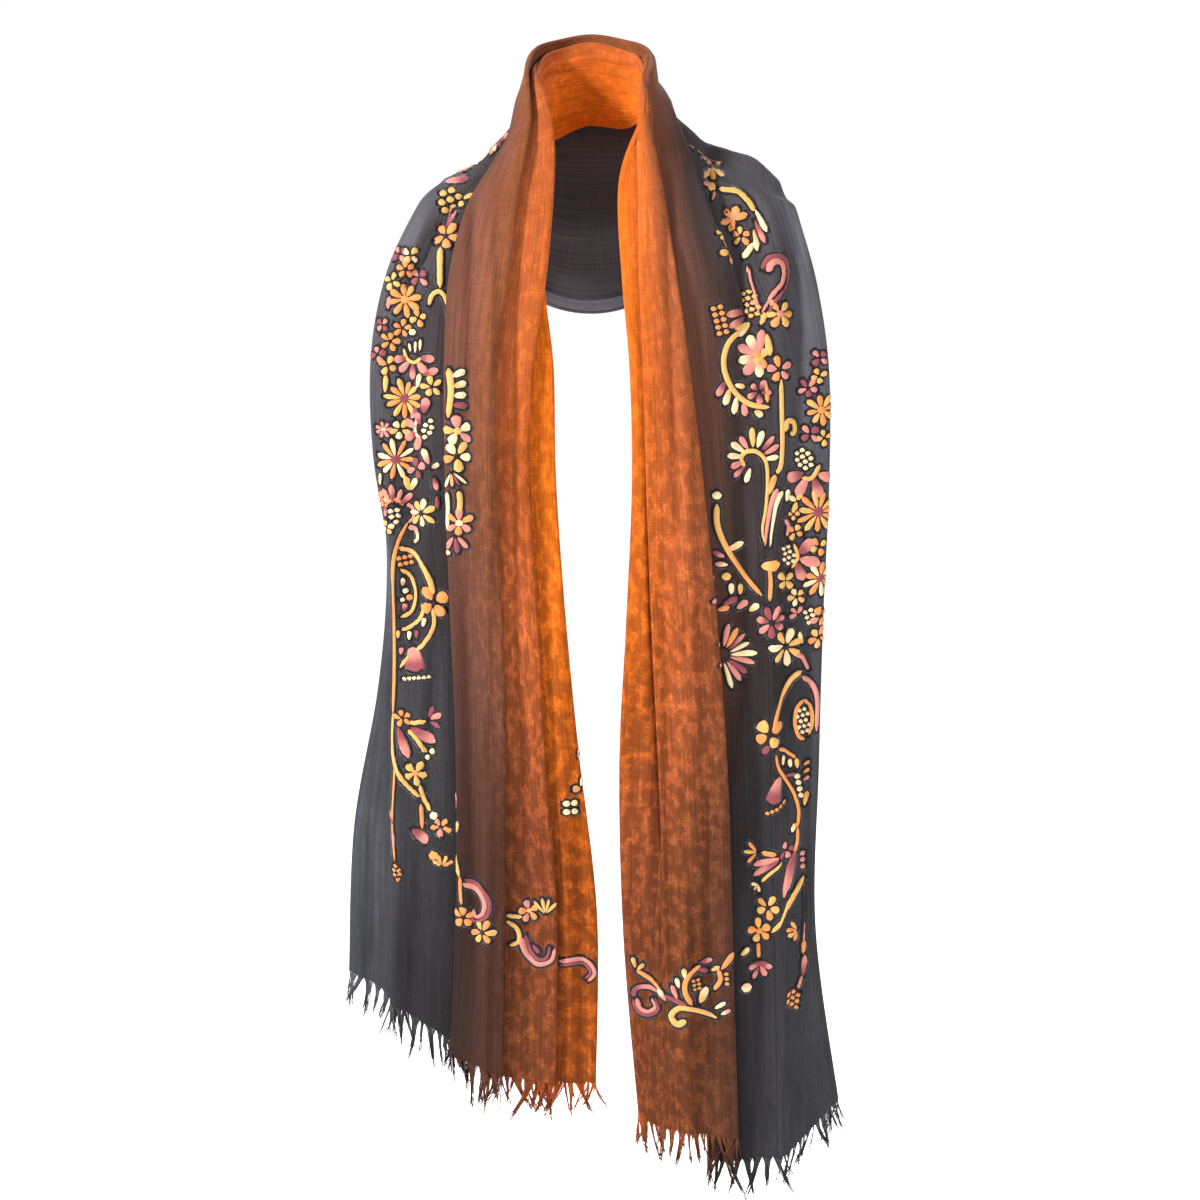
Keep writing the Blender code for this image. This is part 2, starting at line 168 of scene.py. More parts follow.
def fold_corners(side, station):
    """Each section's corners, as distance out, height in layers, and rise of the hem.

    A strip runs from its start to its end on its own layer, and between two strips the cloth turns
    back on the layer half way between theirs. On the right, strip B passes from behind strip C to
    in front of it beside the neck, and two pleats open lower down.
    """
    right = 1.0 if side > 0 else 0.0
    rise = RIGHT_RISE if right else LEFT_RISE
    fold = dict(zip(FOLD_COLUMNS, read_rows(FOLDS[side], station).T))
    swapped = soft_step(*SWAP, station) * right
    open_cd = soft_step(*OPEN_CD, station) * right
    open_ab = soft_step(*OPEN_AB, station) * right
    tucked = 1.0 - soft_step(*EDGES_PART, station) * (1.0 - soft_step(*EDGES_LAP, station)) * right
    layer = {
        name: low + (RIGHT_LAYERS[name] - low) * swapped for name, low in LEFT_LAYERS.items()
    }
    layer["a"] = layer["a"] + open_ab
    layer["d"] = layer["d"] + 2.0 * open_cd
    layer["e"] = layer["e"] + open_cd
    layer["back"] = layer["back"] - 2.0 * open_cd
    b_width = fold["bc"] - fold["ab"]
    c_width = fold["cd"] - fold["bc"]
    lessened = soft_step(*RIGHT_LAPS, station) * right
    lap_ab = (AB_LAP + (AB_LAP_RIGHT - AB_LAP) * lessened) * b_width
    lap_ab = lap_ab * (1.0 - open_ab) - AB_OPENING * open_ab
    lap_bc = np.where(swapped > 0.5, BC_LAP_RIGHT * b_width, BC_LAP_LEFT * c_width)
    lap_bc = lap_bc * tucked - BC_OPENING * (1.0 - tucked)
    lap_cd = CD_LAP * c_width * (1.0 - open_cd) - CD_OPENING * open_cd
    back_share = BACK_SHARE - BACK_LESS * lessened + BACK_MORE * open_cd
    back_share *= BACK_AT_NAPE + (1.0 - BACK_AT_NAPE) * soft_step(*BACK_GROWS, station)
    back_share *= 1.0 - BACK_TUCK * swapped * (1.0 - open_cd)
    back_end = fold["a"] + back_share * (fold["de"] - fold["a"])
    c_rise = rise["cd"] if right else rise["bc"]
    strips = (
        ("a", fold["a"], fold["ab"] + lap_ab, rise["a"], rise["ab"]),
        ("b", fold["ab"], fold["bc"] + lap_bc * (1.0 - swapped), rise["ab"], rise["bc"]),
        ("c", fold["bc"] - lap_bc * swapped, fold["cd"], c_rise, rise["cd"]),
        ("d", fold["cd"] - lap_cd, fold["de"], rise["cd"], rise["de"]),
        ("e", fold["de"] - E_LAP, fold["e"], rise["de"], rise["e"]),
    )
    corners = [(back_end, layer["back"], rise["back"]), (fold["a"], layer["back"], rise["a"])]
    for index, (name, start, end, start_rise, end_rise) in enumerate(strips):
        if index:
            last_name, _, last_end, _, last_rise = strips[index - 1]
            between = (layer[last_name] + layer[name]) / 2.0
            corners.append((last_end, between, last_rise))
            corners.append((start, between, start_rise))
        corners.append((start, layer[name], start_rise))
        corners.append((end, layer[name], end_rise))
    level = np.zeros_like(station)
    return np.array([[part + level for part in corner] for corner in corners]).transpose(2, 0, 1)


def path_origin(side, at):
    """The path's points on one side, from its rows."""
    right = 1.0 if side > 0 else 0.0
    out = at[:, 0] + at[:, 7] * right
    return np.stack((side * out, at[:, 1], at[:, 2] - at[:, 8] * right), axis=1)


# The creases, a row for each: out from the path and up at its top, the same at its foot, its
# half-width, and its depth, which is below 0 for a ridge.
NECK_CREASES = (
    (0.030, 0.120, 0.016, 0.000, 0.006, 0.0035),
    (0.010, 0.120, 0.000, -0.010, 0.005, -0.0023),
    (0.100, 0.120, 0.066, -0.050, 0.012, 0.0052),
    (0.155, 0.120, 0.100, -0.060, 0.014, -0.0049),
    (0.212, 0.120, 0.128, -0.050, 0.013, 0.0049),
)
LEFT_CREASES = NECK_CREASES + (
    (0.050, -0.070, 0.118, -0.190, 0.0074, 0.0064),
    (0.082, -0.080, 0.134, -0.240, 0.0082, -0.0049),
    (0.106, -0.220, 0.100, -0.480, 0.0082, 0.0058),
    (0.088, -0.360, 0.096, -0.620, 0.0066, -0.0041),
    (0.084, -0.500, 0.105, -0.860, 0.0090, 0.0058),
    (0.116, -0.560, 0.126, -0.900, 0.0074, -0.0049),
    (0.124, -0.300, 0.118, -0.500, 0.0066, -0.0041),
    (0.142, -0.660, 0.150, -0.860, 0.0074, 0.0046),
    (0.042, -0.060, 0.052, -0.360, 0.0057, 0.0038),
    (0.028, -0.100, 0.034, -0.520, 0.0049, -0.0035),
    (0.052, -0.420, 0.046, -0.800, 0.0066, 0.0043),
    (0.034, -0.620, 0.040, -0.950, 0.0057, -0.0038),
    (0.008, -0.160, 0.010, -0.600, 0.0049, 0.0035),
    (0.000, -0.500, -0.004, -0.930, 0.0057, 0.0041),
    (-0.030, -0.350, -0.040, -0.900, 0.0066, -0.0038),
    (-0.050, -0.620, -0.054, -0.980, 0.0049, 0.0035),
)
RIGHT_CREASES = NECK_CREASES + (
    (0.058, -0.050, 0.080, -0.230, 0.0074, 0.0067),
    (0.098, -0.050, 0.112, -0.240, 0.0090, -0.0052),
    (0.122, -0.080, 0.128, -0.330, 0.0074, 0.0049),
    (0.074, -0.260, 0.082, -0.560, 0.0082, 0.0049),
    (0.110, -0.330, 0.104, -0.660, 0.0074, -0.0046),
    (0.092, -0.580, 0.096, -0.900, 0.0082, 0.0055),
    (0.122, -0.700, 0.118, -0.980, 0.0066, -0.0046),
    (0.138, -0.450, 0.140, -0.800, 0.0057, 0.0041),
    (0.004, -0.050, 0.020, -0.400, 0.0049, 0.0038),
    (0.022, -0.220, 0.034, -0.580, 0.0066, -0.0035),
    (0.006, -0.400, 0.014, -0.800, 0.0074, 0.0049),
    (0.046, -0.550, 0.052, -0.950, 0.0066, 0.0043),
    (-0.014, -0.300, -0.006, -0.750, 0.0049, -0.0038),
    (0.026, -0.720, 0.032, -1.000, 0.0057, -0.0043),
)
CREASES = {-1.0: LEFT_CREASES, 1.0: RIGHT_CREASES}


def crease_height(side, out, up):
    """How far the creases move the cloth off its layer, the same on every layer.

    Each crease is a soft trough round its line: its depth times a bell curve across the line, and
    times a soft step in and out at the line's ends.
    """
    height = np.zeros_like(out)
    for out_top, up_top, out_foot, up_foot, width, depth in CREASES[side]:
        along = (up_top - up) / (up_top - up_foot)
        middle = out_top + (out_foot - out_top) * along
        ends = soft_step(-0.15, 0.25, along) * (1.0 - soft_step(0.75, 1.15, along))
        height -= depth * ends * np.exp(-(((out - middle) / width) ** 2))
    return height


def place(side, station, flat):
    """Points in space of sections given as distance out, height in layers and rise: the path's
    point, plus the outward axis times the distance, plus the normal times the layer's height, with
    the cloth's roll round the neck, its curl towards the arms and its creases."""
    step = 0.01
    at = read_rows(PATH, station, PATH_MIRROR)
    ahead = read_rows(PATH, np.minimum(station + step, HEM), PATH_MIRROR)
    behind = read_rows(PATH, np.maximum(station - step, 0.0), PATH_MIRROR)
    origin = path_origin(side, at)
    travel = path_origin(side, ahead) - path_origin(side, behind)
    travel[station < step] = (side, 0.0, 0.0)
    turn = np.radians(at[:, 3])
    drop = np.radians(at[:, 5] if side > 0 else at[:, 4])
    level = np.stack((side * np.cos(turn), np.sin(turn), 0.0 * turn), axis=1)
    outward = level * np.cos(drop)[:, None] - np.sin(drop)[:, None] * np.array([0.0, 0.0, 1.0])
    normal = side * np.cross(travel, outward)
    normal /= np.linalg.norm(normal, axis=1)[:, None]
    out, high, rise = flat[..., 0], flat[..., 1], flat[..., 2]
    roll = at[:, 6][:, None] * np.exp(-((out / ROLL_WIDTH) ** 2))
    curl = CURL * soft_step(*CURL_STARTS, station)[:, None] * np.maximum(out, 0.0) ** 2
    hang = np.clip(at[:, 2] / PATH["hem"][2], 0.0, 1.0)[:, None] ** RISE_CURVE
    fall = hang * (rise - (RIGHT_LONGER if side > 0 else 0.0))
    lift = BODY_GAP + SOLID_WALL / 2.0 + (high - LOWEST_LAYER) * LAYER + roll - curl
    lift = lift + crease_height(side, out, at[:, 2][:, None] + fall)
    points = origin[:, None] + outward[:, None] * out[..., None] + normal[:, None] * lift[..., None]
    points[..., 2] += fall
    return points


BEND_POINTS = 6  # the steps of the grid round a bend, across a strip and across a hidden return
STRIP_POINTS = 15
RETURN_POINTS = 5


def section_grid(side, station):
    """A grid of points with a row for each station and a column for each step along the section.

    Each corner is rounded by a quadratic curve through its two reaches, and each strip between two
    corners is divided evenly. Strips A to E have more steps than the hidden returns.
    """
    corners = fold_corners(side, station)
    run = np.diff(corners, axis=1)
    length = np.linalg.norm(run * (1.0, LAYER, 0.0), axis=2)
    reach = np.minimum(ROUNDING, 0.5 * length) / np.maximum(length, 1e-9)
    enter = corners[:, 1:-1] - run[:, :-1] * reach[:, :-1, None]
    leave = corners[:, 1:-1] + run[:, 1:] * reach[:, 1:, None]
    share = np.linspace(0.0, 1.0, BEND_POINTS)[None, :, None]
    columns = [corners[:, :1]]
    last = corners[:, 0]
    for index in range(corners.shape[1] - 2):
        if index % 2 == 0:
            steps = STRIP_POINTS if index == 0 or index % 4 == 2 else RETURN_POINTS
            part = np.arange(1, steps + 1)[None, :, None] / (steps + 1.0)
            columns.append(last[:, None] * (1.0 - part) + enter[:, index, None] * part)
        bend = (
            enter[:, index, None] * (1.0 - share) ** 2
            + corners[:, index + 1, None] * 2.0 * share * (1.0 - share)
            + leave[:, index, None] * share**2
        )
        columns.append(bend if index % 2 == 0 else bend[:, 1:])
        last = leave[:, index]
    part = np.arange(1, STRIP_POINTS + 2)[None, :, None] / (STRIP_POINTS + 1.0)
    columns.append(last[:, None] * (1.0 - part) + corners[:, -1, None] * part)
    return place(side, station, np.concatenate(columns, axis=1))


# The wool
# Fine twisted wool in a plain weave, dipped across its width from bright orange through brown to charcoal.
# Its colour also carries painted shade: it darkens towards the hems, where the light falls off, and the
# near-black stop between the brown and the charcoal is partly the dye's own dark brown and partly painted
# shadow in the pleat recesses. A pattern of curls woven tone on tone shows where the cloth is orange or
# brown, and thick and thin threads leave streaks along the warp.
DYE_AND_PLEAT_SHADE_STOPS = (
    (0.00, (0.600, 0.125, 0.004)),
    (0.14, (0.490, 0.098, 0.006)),
    (0.30, (0.375, 0.085, 0.021)),
    (0.45, (0.215, 0.062, 0.020)),
    (0.56, (0.155, 0.055, 0.034)),
    # Painted shadow: this near-black stop darkens the cloth in the pleat recesses, with some of the dye's
    # own dark brown
    (0.68, (0.040, 0.024, 0.020)),
    (0.78, (0.045, 0.038, 0.042)),
    (0.88, (0.078, 0.074, 0.084)),
    (1.00, (0.115, 0.117, 0.136)),
)
CLOUDS = (14.0, 5.0)  # clouds of dye in a metre, across and down
CLOUD_DYE = 0.10  # how far along the dye a cloud carries the colour
CURL_SCALE = 140.0  # curls in a metre
STREAK_SCALE = 620.0  # thick threads in a metre
STREAKS_DOWN = 11.0  # lengths of streak in a metre down, and of weft thread in a metre across
THREADS_ACROSS = 26.0
WEAVE_PITCH = 0.0011

# How light each pattern leaves the wool: at its least, and how much it adds at its most
SHADES = {
    "clouds": (0.66, 0.68),
    "streaks": (0.58, 0.84),
    "threads": (0.84, 0.32),
    "curls": (0.88, 1.25),
}


class Channel:
    """A shader socket that takes part in sums, differences and products."""

    def __init__(self, tree, socket):
        self.tree = tree
        self.socket = socket

    def node(self, kind, settings=None, output=0, **values):
        """Adds a node of this kind with its settings, then its inputs' values or links."""
        added = self.tree.nodes.new(kind)
        for word, setting in (settings or {}).items():
            setattr(added, word, setting)
        for word, value in values.items():
            place_in = added.inputs[int(word[1:])] if word[1:].isdigit() else added.inputs[word]
            if isinstance(value, Channel):
                self.tree.links.new(value.socket, place_in)
            else:
                place_in.default_value = value
        return Channel(self.tree, added.outputs[output])

    def maths(self, operation, first, second=0.0):
        return self.node("ShaderNodeMath", {"operation": operation}, _0=first, _1=second)

    def __add__(self, other):
        return self.maths("ADD", self, other)

    def __sub__(self, other):
        return self.maths("SUBTRACT", self, other)

    def __mul__(self, other):
        return self.maths("MULTIPLY", self, other)

    __radd__ = __add__


def new_finish(name, roughness, sheen):
    """A soft, matt material with its shader, and a channel to start its nodes from."""
    material = bpy.data.materials.new(name)
    material.use_nodes = True
    shader = material.node_tree.nodes["Principled BSDF"]
    shader.inputs["Roughness"].default_value = roughness
    shader.inputs["Sheen Weight"].default_value = sheen
    shader.inputs["Sheen Roughness"].default_value = 0.5
    shader.inputs["Specular IOR Level"].default_value = 0.15
    return material, shader, Channel(material.node_tree, None)


def ramp(channel, value, stops):
    """The colours of the stops, blended evenly between each stop and the next."""
    blended = channel.node("ShaderNodeValToRGB", None, Fac=value)
    scale = blended.socket.node.color_ramp
    while len(scale.elements) < len(stops):
        scale.elements.new(0.5)
    for element, (position, colour) in zip(scale.elements, stops):
        element.position = position
        element.color = (*colour, 1.0)
    return blended


def stretched_noise(channel, place_on, across, down, detail, distortion=0.0):
    """Noise from 0 to 1 on the cloth, with this many lumps in a metre across and down."""
    stretched = channel.node(
        "ShaderNodeMapping", {"vector_type": "POINT"}, Vector=place_on, Scale=(across, down, 1.0)
    )
    return channel.node(
        "ShaderNodeTexNoise", {"noise_dimensions": "2D"},
        Vector=stretched, Scale=1.0, Detail=detail, Distortion=distortion,
    )


def between(channel, value, low, high, to_low=0.0, to_high=1.0):
    """The value carried smoothly from one range to another."""
    return channel.node(
        "ShaderNodeMapRange", {"interpolation_type": "SMOOTHSTEP"},
        _0=value, _1=low, _2=high, _3=to_low, _4=to_high,
    )


def tinted(channel, colour, amount):
    """The colour made darker or lighter by an amount."""
    return channel.node("ShaderNodeVectorMath", {"operation": "SCALE"}, _0=colour, _3=amount)


wool, wool_shader, start = new_finish("dipped_wool", 0.92, 0.03)
wool_place = start.node("ShaderNodeUVMap", {"uv_map": "cloth"})
wool_dye = start.node("ShaderNodeAttribute", {"attribute_name": "dye"}, output=2)
wool_across = start.node("ShaderNodeSeparateXYZ", None, Vector=wool_place)
wool_down = Channel(start.tree, wool_across.socket.node.outputs[1])
from_nape = start.maths("ABSOLUTE", wool_down)

clouds = stretched_noise(start, wool_place, *CLOUDS, 3.0)
dye_and_pleat_shade = ramp(start, wool_dye + (clouds - 0.5) * CLOUD_DYE, DYE_AND_PLEAT_SHADE_STOPS)
streaks = stretched_noise(start, wool_place, STREAK_SCALE, STREAKS_DOWN, 2.0)
threads = stretched_noise(start, wool_place, THREADS_ACROSS, STREAK_SCALE * 1.3, 2.0)

# The curls are bright lines within lumps. They show less on the grey and round the neck.
lumps = stretched_noise(start, wool_place, CURL_SCALE, CURL_SCALE * 0.5, 3.0)
swirl = stretched_noise(start, wool_place, CURL_SCALE * 1.5, CURL_SCALE, 1.0, 1.0)
lines = between(start, start.maths("ABSOLUTE", swirl - 0.5), 0.0, 0.08, 1.0, 0.0)
curls = between(start, lumps, 0.42, 0.64) * (lines * 0.60 + 0.40)
on_orange = between(start, wool_dye, 0.40, 0.62, 1.0, 0.10)
on_front = between(start, from_nape, 0.25, 0.85, 0.28, 1.0)
patterns = {
    "clouds": clouds, "streaks": streaks, "threads": threads, "curls": curls * (on_orange * on_front),
}

# Painted shade: the wool darkens from the nape down to the hems, where the light falls off
shade = between(start, from_nape, 0.22, 1.02, 1.0, 0.36)
for word, (least, added) in SHADES.items():
    shade = shade * (patterns[word] * added + least)
warp_wave = start.maths("SINE", wool_across * (2.0 * math.pi / WEAVE_PITCH))
weft_wave = start.maths("SINE", wool_down * (2.0 * math.pi / WEAVE_PITCH))
weave = warp_wave * weft_wave * 0.5 + streaks * 1.5 + threads + curls * 0.3
woven = start.node("ShaderNodeBump", None, Strength=0.45, Distance=0.0004, Height=weave)
start.tree.links.new(tinted(start, dye_and_pleat_shade, shade).socket, wool_shader.inputs["Base Color"])
start.tree.links.new(woven.socket, wool_shader.inputs["Normal"])

# The cloth
# Three stretches of the one cloth: each end from its shoulder to its hem, and the stretch round the
# neck between them. Each is a thin closed shell on the drape's grid.
FRONT_ROWS = 230
NECK_ROWS = 110


def length_along(points, axis=0):
    """The length from the first point of a line to each of its points, or from a grid's first row
    or column to each of the others."""
    step = np.linalg.norm(np.diff(points, axis=axis), axis=-1)
    start = np.zeros_like(np.take(step, [0], axis=axis))
    return np.concatenate((start, np.cumsum(step, axis=axis)), axis=axis)


def grid_normals(points):
    """Unit normals of a grid, from the cross product of its steps along the rows and columns."""
    down, across = np.gradient(points, axis=(0, 1))
    normal = np.cross(down, across)
    return normal / np.maximum(np.linalg.norm(normal, axis=-1, keepdims=True), 1e-12)


def grid_quads(index):
    """The quads of a grid of vertex numbers."""
    corners = (index[:-1, :-1], index[:-1, 1:], index[1:, 1:], index[1:, :-1])
    return np.stack(corners, axis=-1).reshape(-1, 4)


def put(name, data):
    """An object in the scene from its mesh, lamp or camera."""
    thing = bpy.data.objects.new(name, data)
    bpy.context.scene.collection.objects.link(thing)
    return thing


def add_piece(name, points, faces, material, uv, rim=None):
    """A mesh piece on the root body from its points and faces, with a UV for each point. A shell's
    rim keeps its corners sharp."""
    mesh = bpy.data.meshes.new(name)
    mesh.from_pydata(points.tolist(), [], faces)
    corner_vertex = np.empty(len(mesh.loops), dtype=int)
    mesh.loops.foreach_get("vertex_index", corner_vertex)
    mesh.uv_layers.new(name="cloth").data.foreach_set("uv", uv[corner_vertex].ravel())
    mesh.shade_smooth()
    if rim is not None:
        ends = np.empty(len(mesh.edges) * 2, dtype=int)
        mesh.edges.foreach_get("vertices", ends)
        ends = ends.reshape(-1, 2)
        half = len(points) // 2
        on_rim = np.zeros(len(points), dtype=bool)
        on_rim[rim] = on_rim[rim + half] = True
        sharp = on_rim[ends].all(axis=1) & ((ends[:, 0] < half) == (ends[:, 1] < half))
        mesh.attributes.new("sharp_edge", "BOOLEAN", "EDGE").data.foreach_set("value", sharp)
    mesh.materials.append(material)
    piece = put(name, mesh)
    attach(piece, "root")
    return piece


def shell(points, normals, wall):
    """A closed shell round a grid: the grid moved half a wall to each side along its normals, and
    a rim joining the two round the grid's edge. Gives its points, its quads and the edge's points."""
    rows, columns = points.shape[:2]
    count = rows * columns
    index = np.arange(count).reshape(rows, columns)
    rim = np.concatenate((index[0], index[1:, -1], index[-1, -2::-1], index[-2:0:-1, 0]))
    following = np.roll(rim, -1)
    around = np.stack((rim, following, following + count, rim + count), axis=1)
    outer = (points + normals * wall / 2.0).reshape(-1, 3)
    inner = (points - normals * wall / 2.0).reshape(-1, 3)
    faces = np.concatenate((grid_quads(index), grid_quads(index)[:, ::-1] + count, around[:, ::-1]))
    return np.concatenate((outer, inner)), faces, rim


def add_cloth(name, points, normals, dyes, down, nodes):
    """A stretch of the cloth on its grid, with the length across and down the weave as its UV."""
    across = length_along(points, 1).mean(axis=0)
    if dyes[0, 0] > dyes[0, -1]:
        across = across[-1] - across
    across = np.broadcast_to(across, dyes.shape)
    uv = np.stack((across, np.broadcast_to(down[:, None], across.shape)), axis=-1).reshape(-1, 2)
    corners, faces, rim = shell(points, normals, CLOTH_WALL)
    piece = add_piece(name, corners, faces.tolist(), wool, np.concatenate((uv, uv)), rim)
    dye_values = piece.data.attributes.new("dye", "FLOAT", "POINT")
    dye_values.data.foreach_set("value", np.concatenate((dyes.ravel(), dyes.ravel())))
    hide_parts(*nodes)


STRIP_SPANS = {}  # the grid's columns at either end of each strip
column = 1 + STRIP_POINTS + BEND_POINTS * 2 - 1
for strip_name in "abcde":
    STRIP_SPANS[strip_name] = (column - 1, column + STRIP_POINTS)
    column += STRIP_POINTS + BEND_POINTS * 2 - 1 + RETURN_POINTS + BEND_POINTS * 2 - 1

# How far along the dye each strip starts and ends, from 0 for bright orange to 1 for charcoal, at
# the nape, from the chest to the hip, and at the hem, and the stations that one is blended over
TO_FRONT = (2.0, 5.5)
TO_HEM = (9.0, 11.2)
NECK_DYE = dict(a=(0.16, 0.24), b=(0.30, 0.42), c=(0.50, 0.58), d=(0.66, 0.90), e=(0.95, 1.00))
FRONT_DYE = {
    # Painted shadow: the left strip D starts near the near-black stop, dark in the recess beside its fold
    # with strip C
    -1.0: dict(a=(0.02, 0.12), b=(0.25, 0.37), c=(0.48, 0.58), d=(0.70, 0.86), e=(0.90, 1.00)),
    1.0: dict(a=(0.12, 0.18), b=(0.20, 0.40), c=(0.53, 0.72), d=(0.75, 0.94), e=(0.95, 1.00)),
}
HEM_DYE = {
    -1.0: dict(a=(0.12, 0.22), b=(0.32, 0.45), c=(0.56, 0.64), d=(0.78, 0.88), e=(0.90, 1.00)),
    # Painted shadow: the right strip C starts on the near-black stop at the hem, as the shadow between
    # strips B and D
    1.0: dict(a=(0.34, 0.39), b=(0.39, 0.52), c=(0.68, 0.88), d=(0.88, 0.94), e=(0.95, 1.00)),
}


def dye_on(side, station, columns):
    """How far along the dye each point of a grid is: even between the ends of the strips, and
    blended softly down the cloth from each table of dyes to the next."""
    knots = [0] + [column for name in "abcde" for column in STRIP_SPANS[name]]
    nape, front_part, hem_part = (
        np.interp(np.arange(columns), knots, [0.0] + [part for ends in dyes.values() for part in ends])
        for dyes in (NECK_DYE, FRONT_DYE[side], HEM_DYE[side])
    )
    to_front = soft_step(*TO_FRONT, station)[:, None]
    to_hem = soft_step(*TO_HEM, station)[:, None]
    return nape + (front_part - nape) * to_front + (hem_part - front_part) * to_hem


front_station = np.linspace(SHOULDER, HEM, FRONT_ROWS)
neck_station = np.linspace(0.0, SHOULDER, NECK_ROWS)
whole_station = np.concatenate((neck_station, front_station[1:]))
whole_side = {side: section_grid(side, whole_station) for side in (-1.0, 1.0)}
whole_face = {side: side * grid_normals(whole_side[side]) for side in (-1.0, 1.0)}
front = {side: whole_side[side][NECK_ROWS - 1 :] for side in (-1.0, 1.0)}
neck_side = {side: whole_side[side][:NECK_ROWS] for side in (-1.0, 1.0)}
COLUMNS = front[1.0].shape[1]

neck_down = {side: length_along(neck_side[side][:, COLUMNS // 2]) for side in (-1.0, 1.0)}
for word, side in (("left", -1.0), ("right", 1.0)):
    points = front[side]
    dyes = dye_on(side, front_station, COLUMNS)
    down = side * (neck_down[side][-1] + length_along(points[:, COLUMNS // 2]))
    turned = slice(None, None, int(side))
    add_cloth(
        f"cloth_{word}", points[:, turned], whole_face[side][NECK_ROWS - 1 :, turned],
        dyes[:, turned], down, [f"front_{word}"],
    )

neck = np.concatenate((neck_side[-1.0][::-1], neck_side[1.0][1:]))[::-1]
neck_dyes = np.concatenate((
    dye_on(-1.0, neck_station, COLUMNS)[::-1], dye_on(1.0, neck_station, COLUMNS)[1:],
))[::-1]
neck_length = np.concatenate((-neck_down[-1.0][::-1], neck_down[1.0][1:]))[::-1]
neck_face = np.concatenate((whole_face[-1.0][NECK_ROWS - 1 :: -1], whole_face[1.0][1:NECK_ROWS]))[::-1]
add_cloth("cloth_neck", neck, neck_face, neck_dyes, neck_length, ["neck_wrap"])

# The fringe
# The warp's own ends, left loose below the last weft and frayed into uneven clumps. Each takes its
# colour from the cloth above it.
STRANDS = 760
STRAND_POINTS = 8
STRAND_RADIUS = 0.00050
STRAND_LENGTH = 0.031
CLUMP_STRANDS = 10.0
CLUMP_PULL = 0.80  # how far a strand's tip is drawn to the middle of its clump
PULL_CURVE = 0.35  # how soon: less is sooner
WARP_FALL = 0.4  # how far the strands follow the warp, and the rest of the way they fall
STRAIGHT_FALL = (0.0, 0.0, -0.6)
FLARE = 0.35  # how far the strands lean out at the corners of the hem
FLARE_WIDTH = 0.012
STRAND_ROUND = np.array(((0.0, 1.0), (-0.87, -0.5), (0.87, -0.5)))


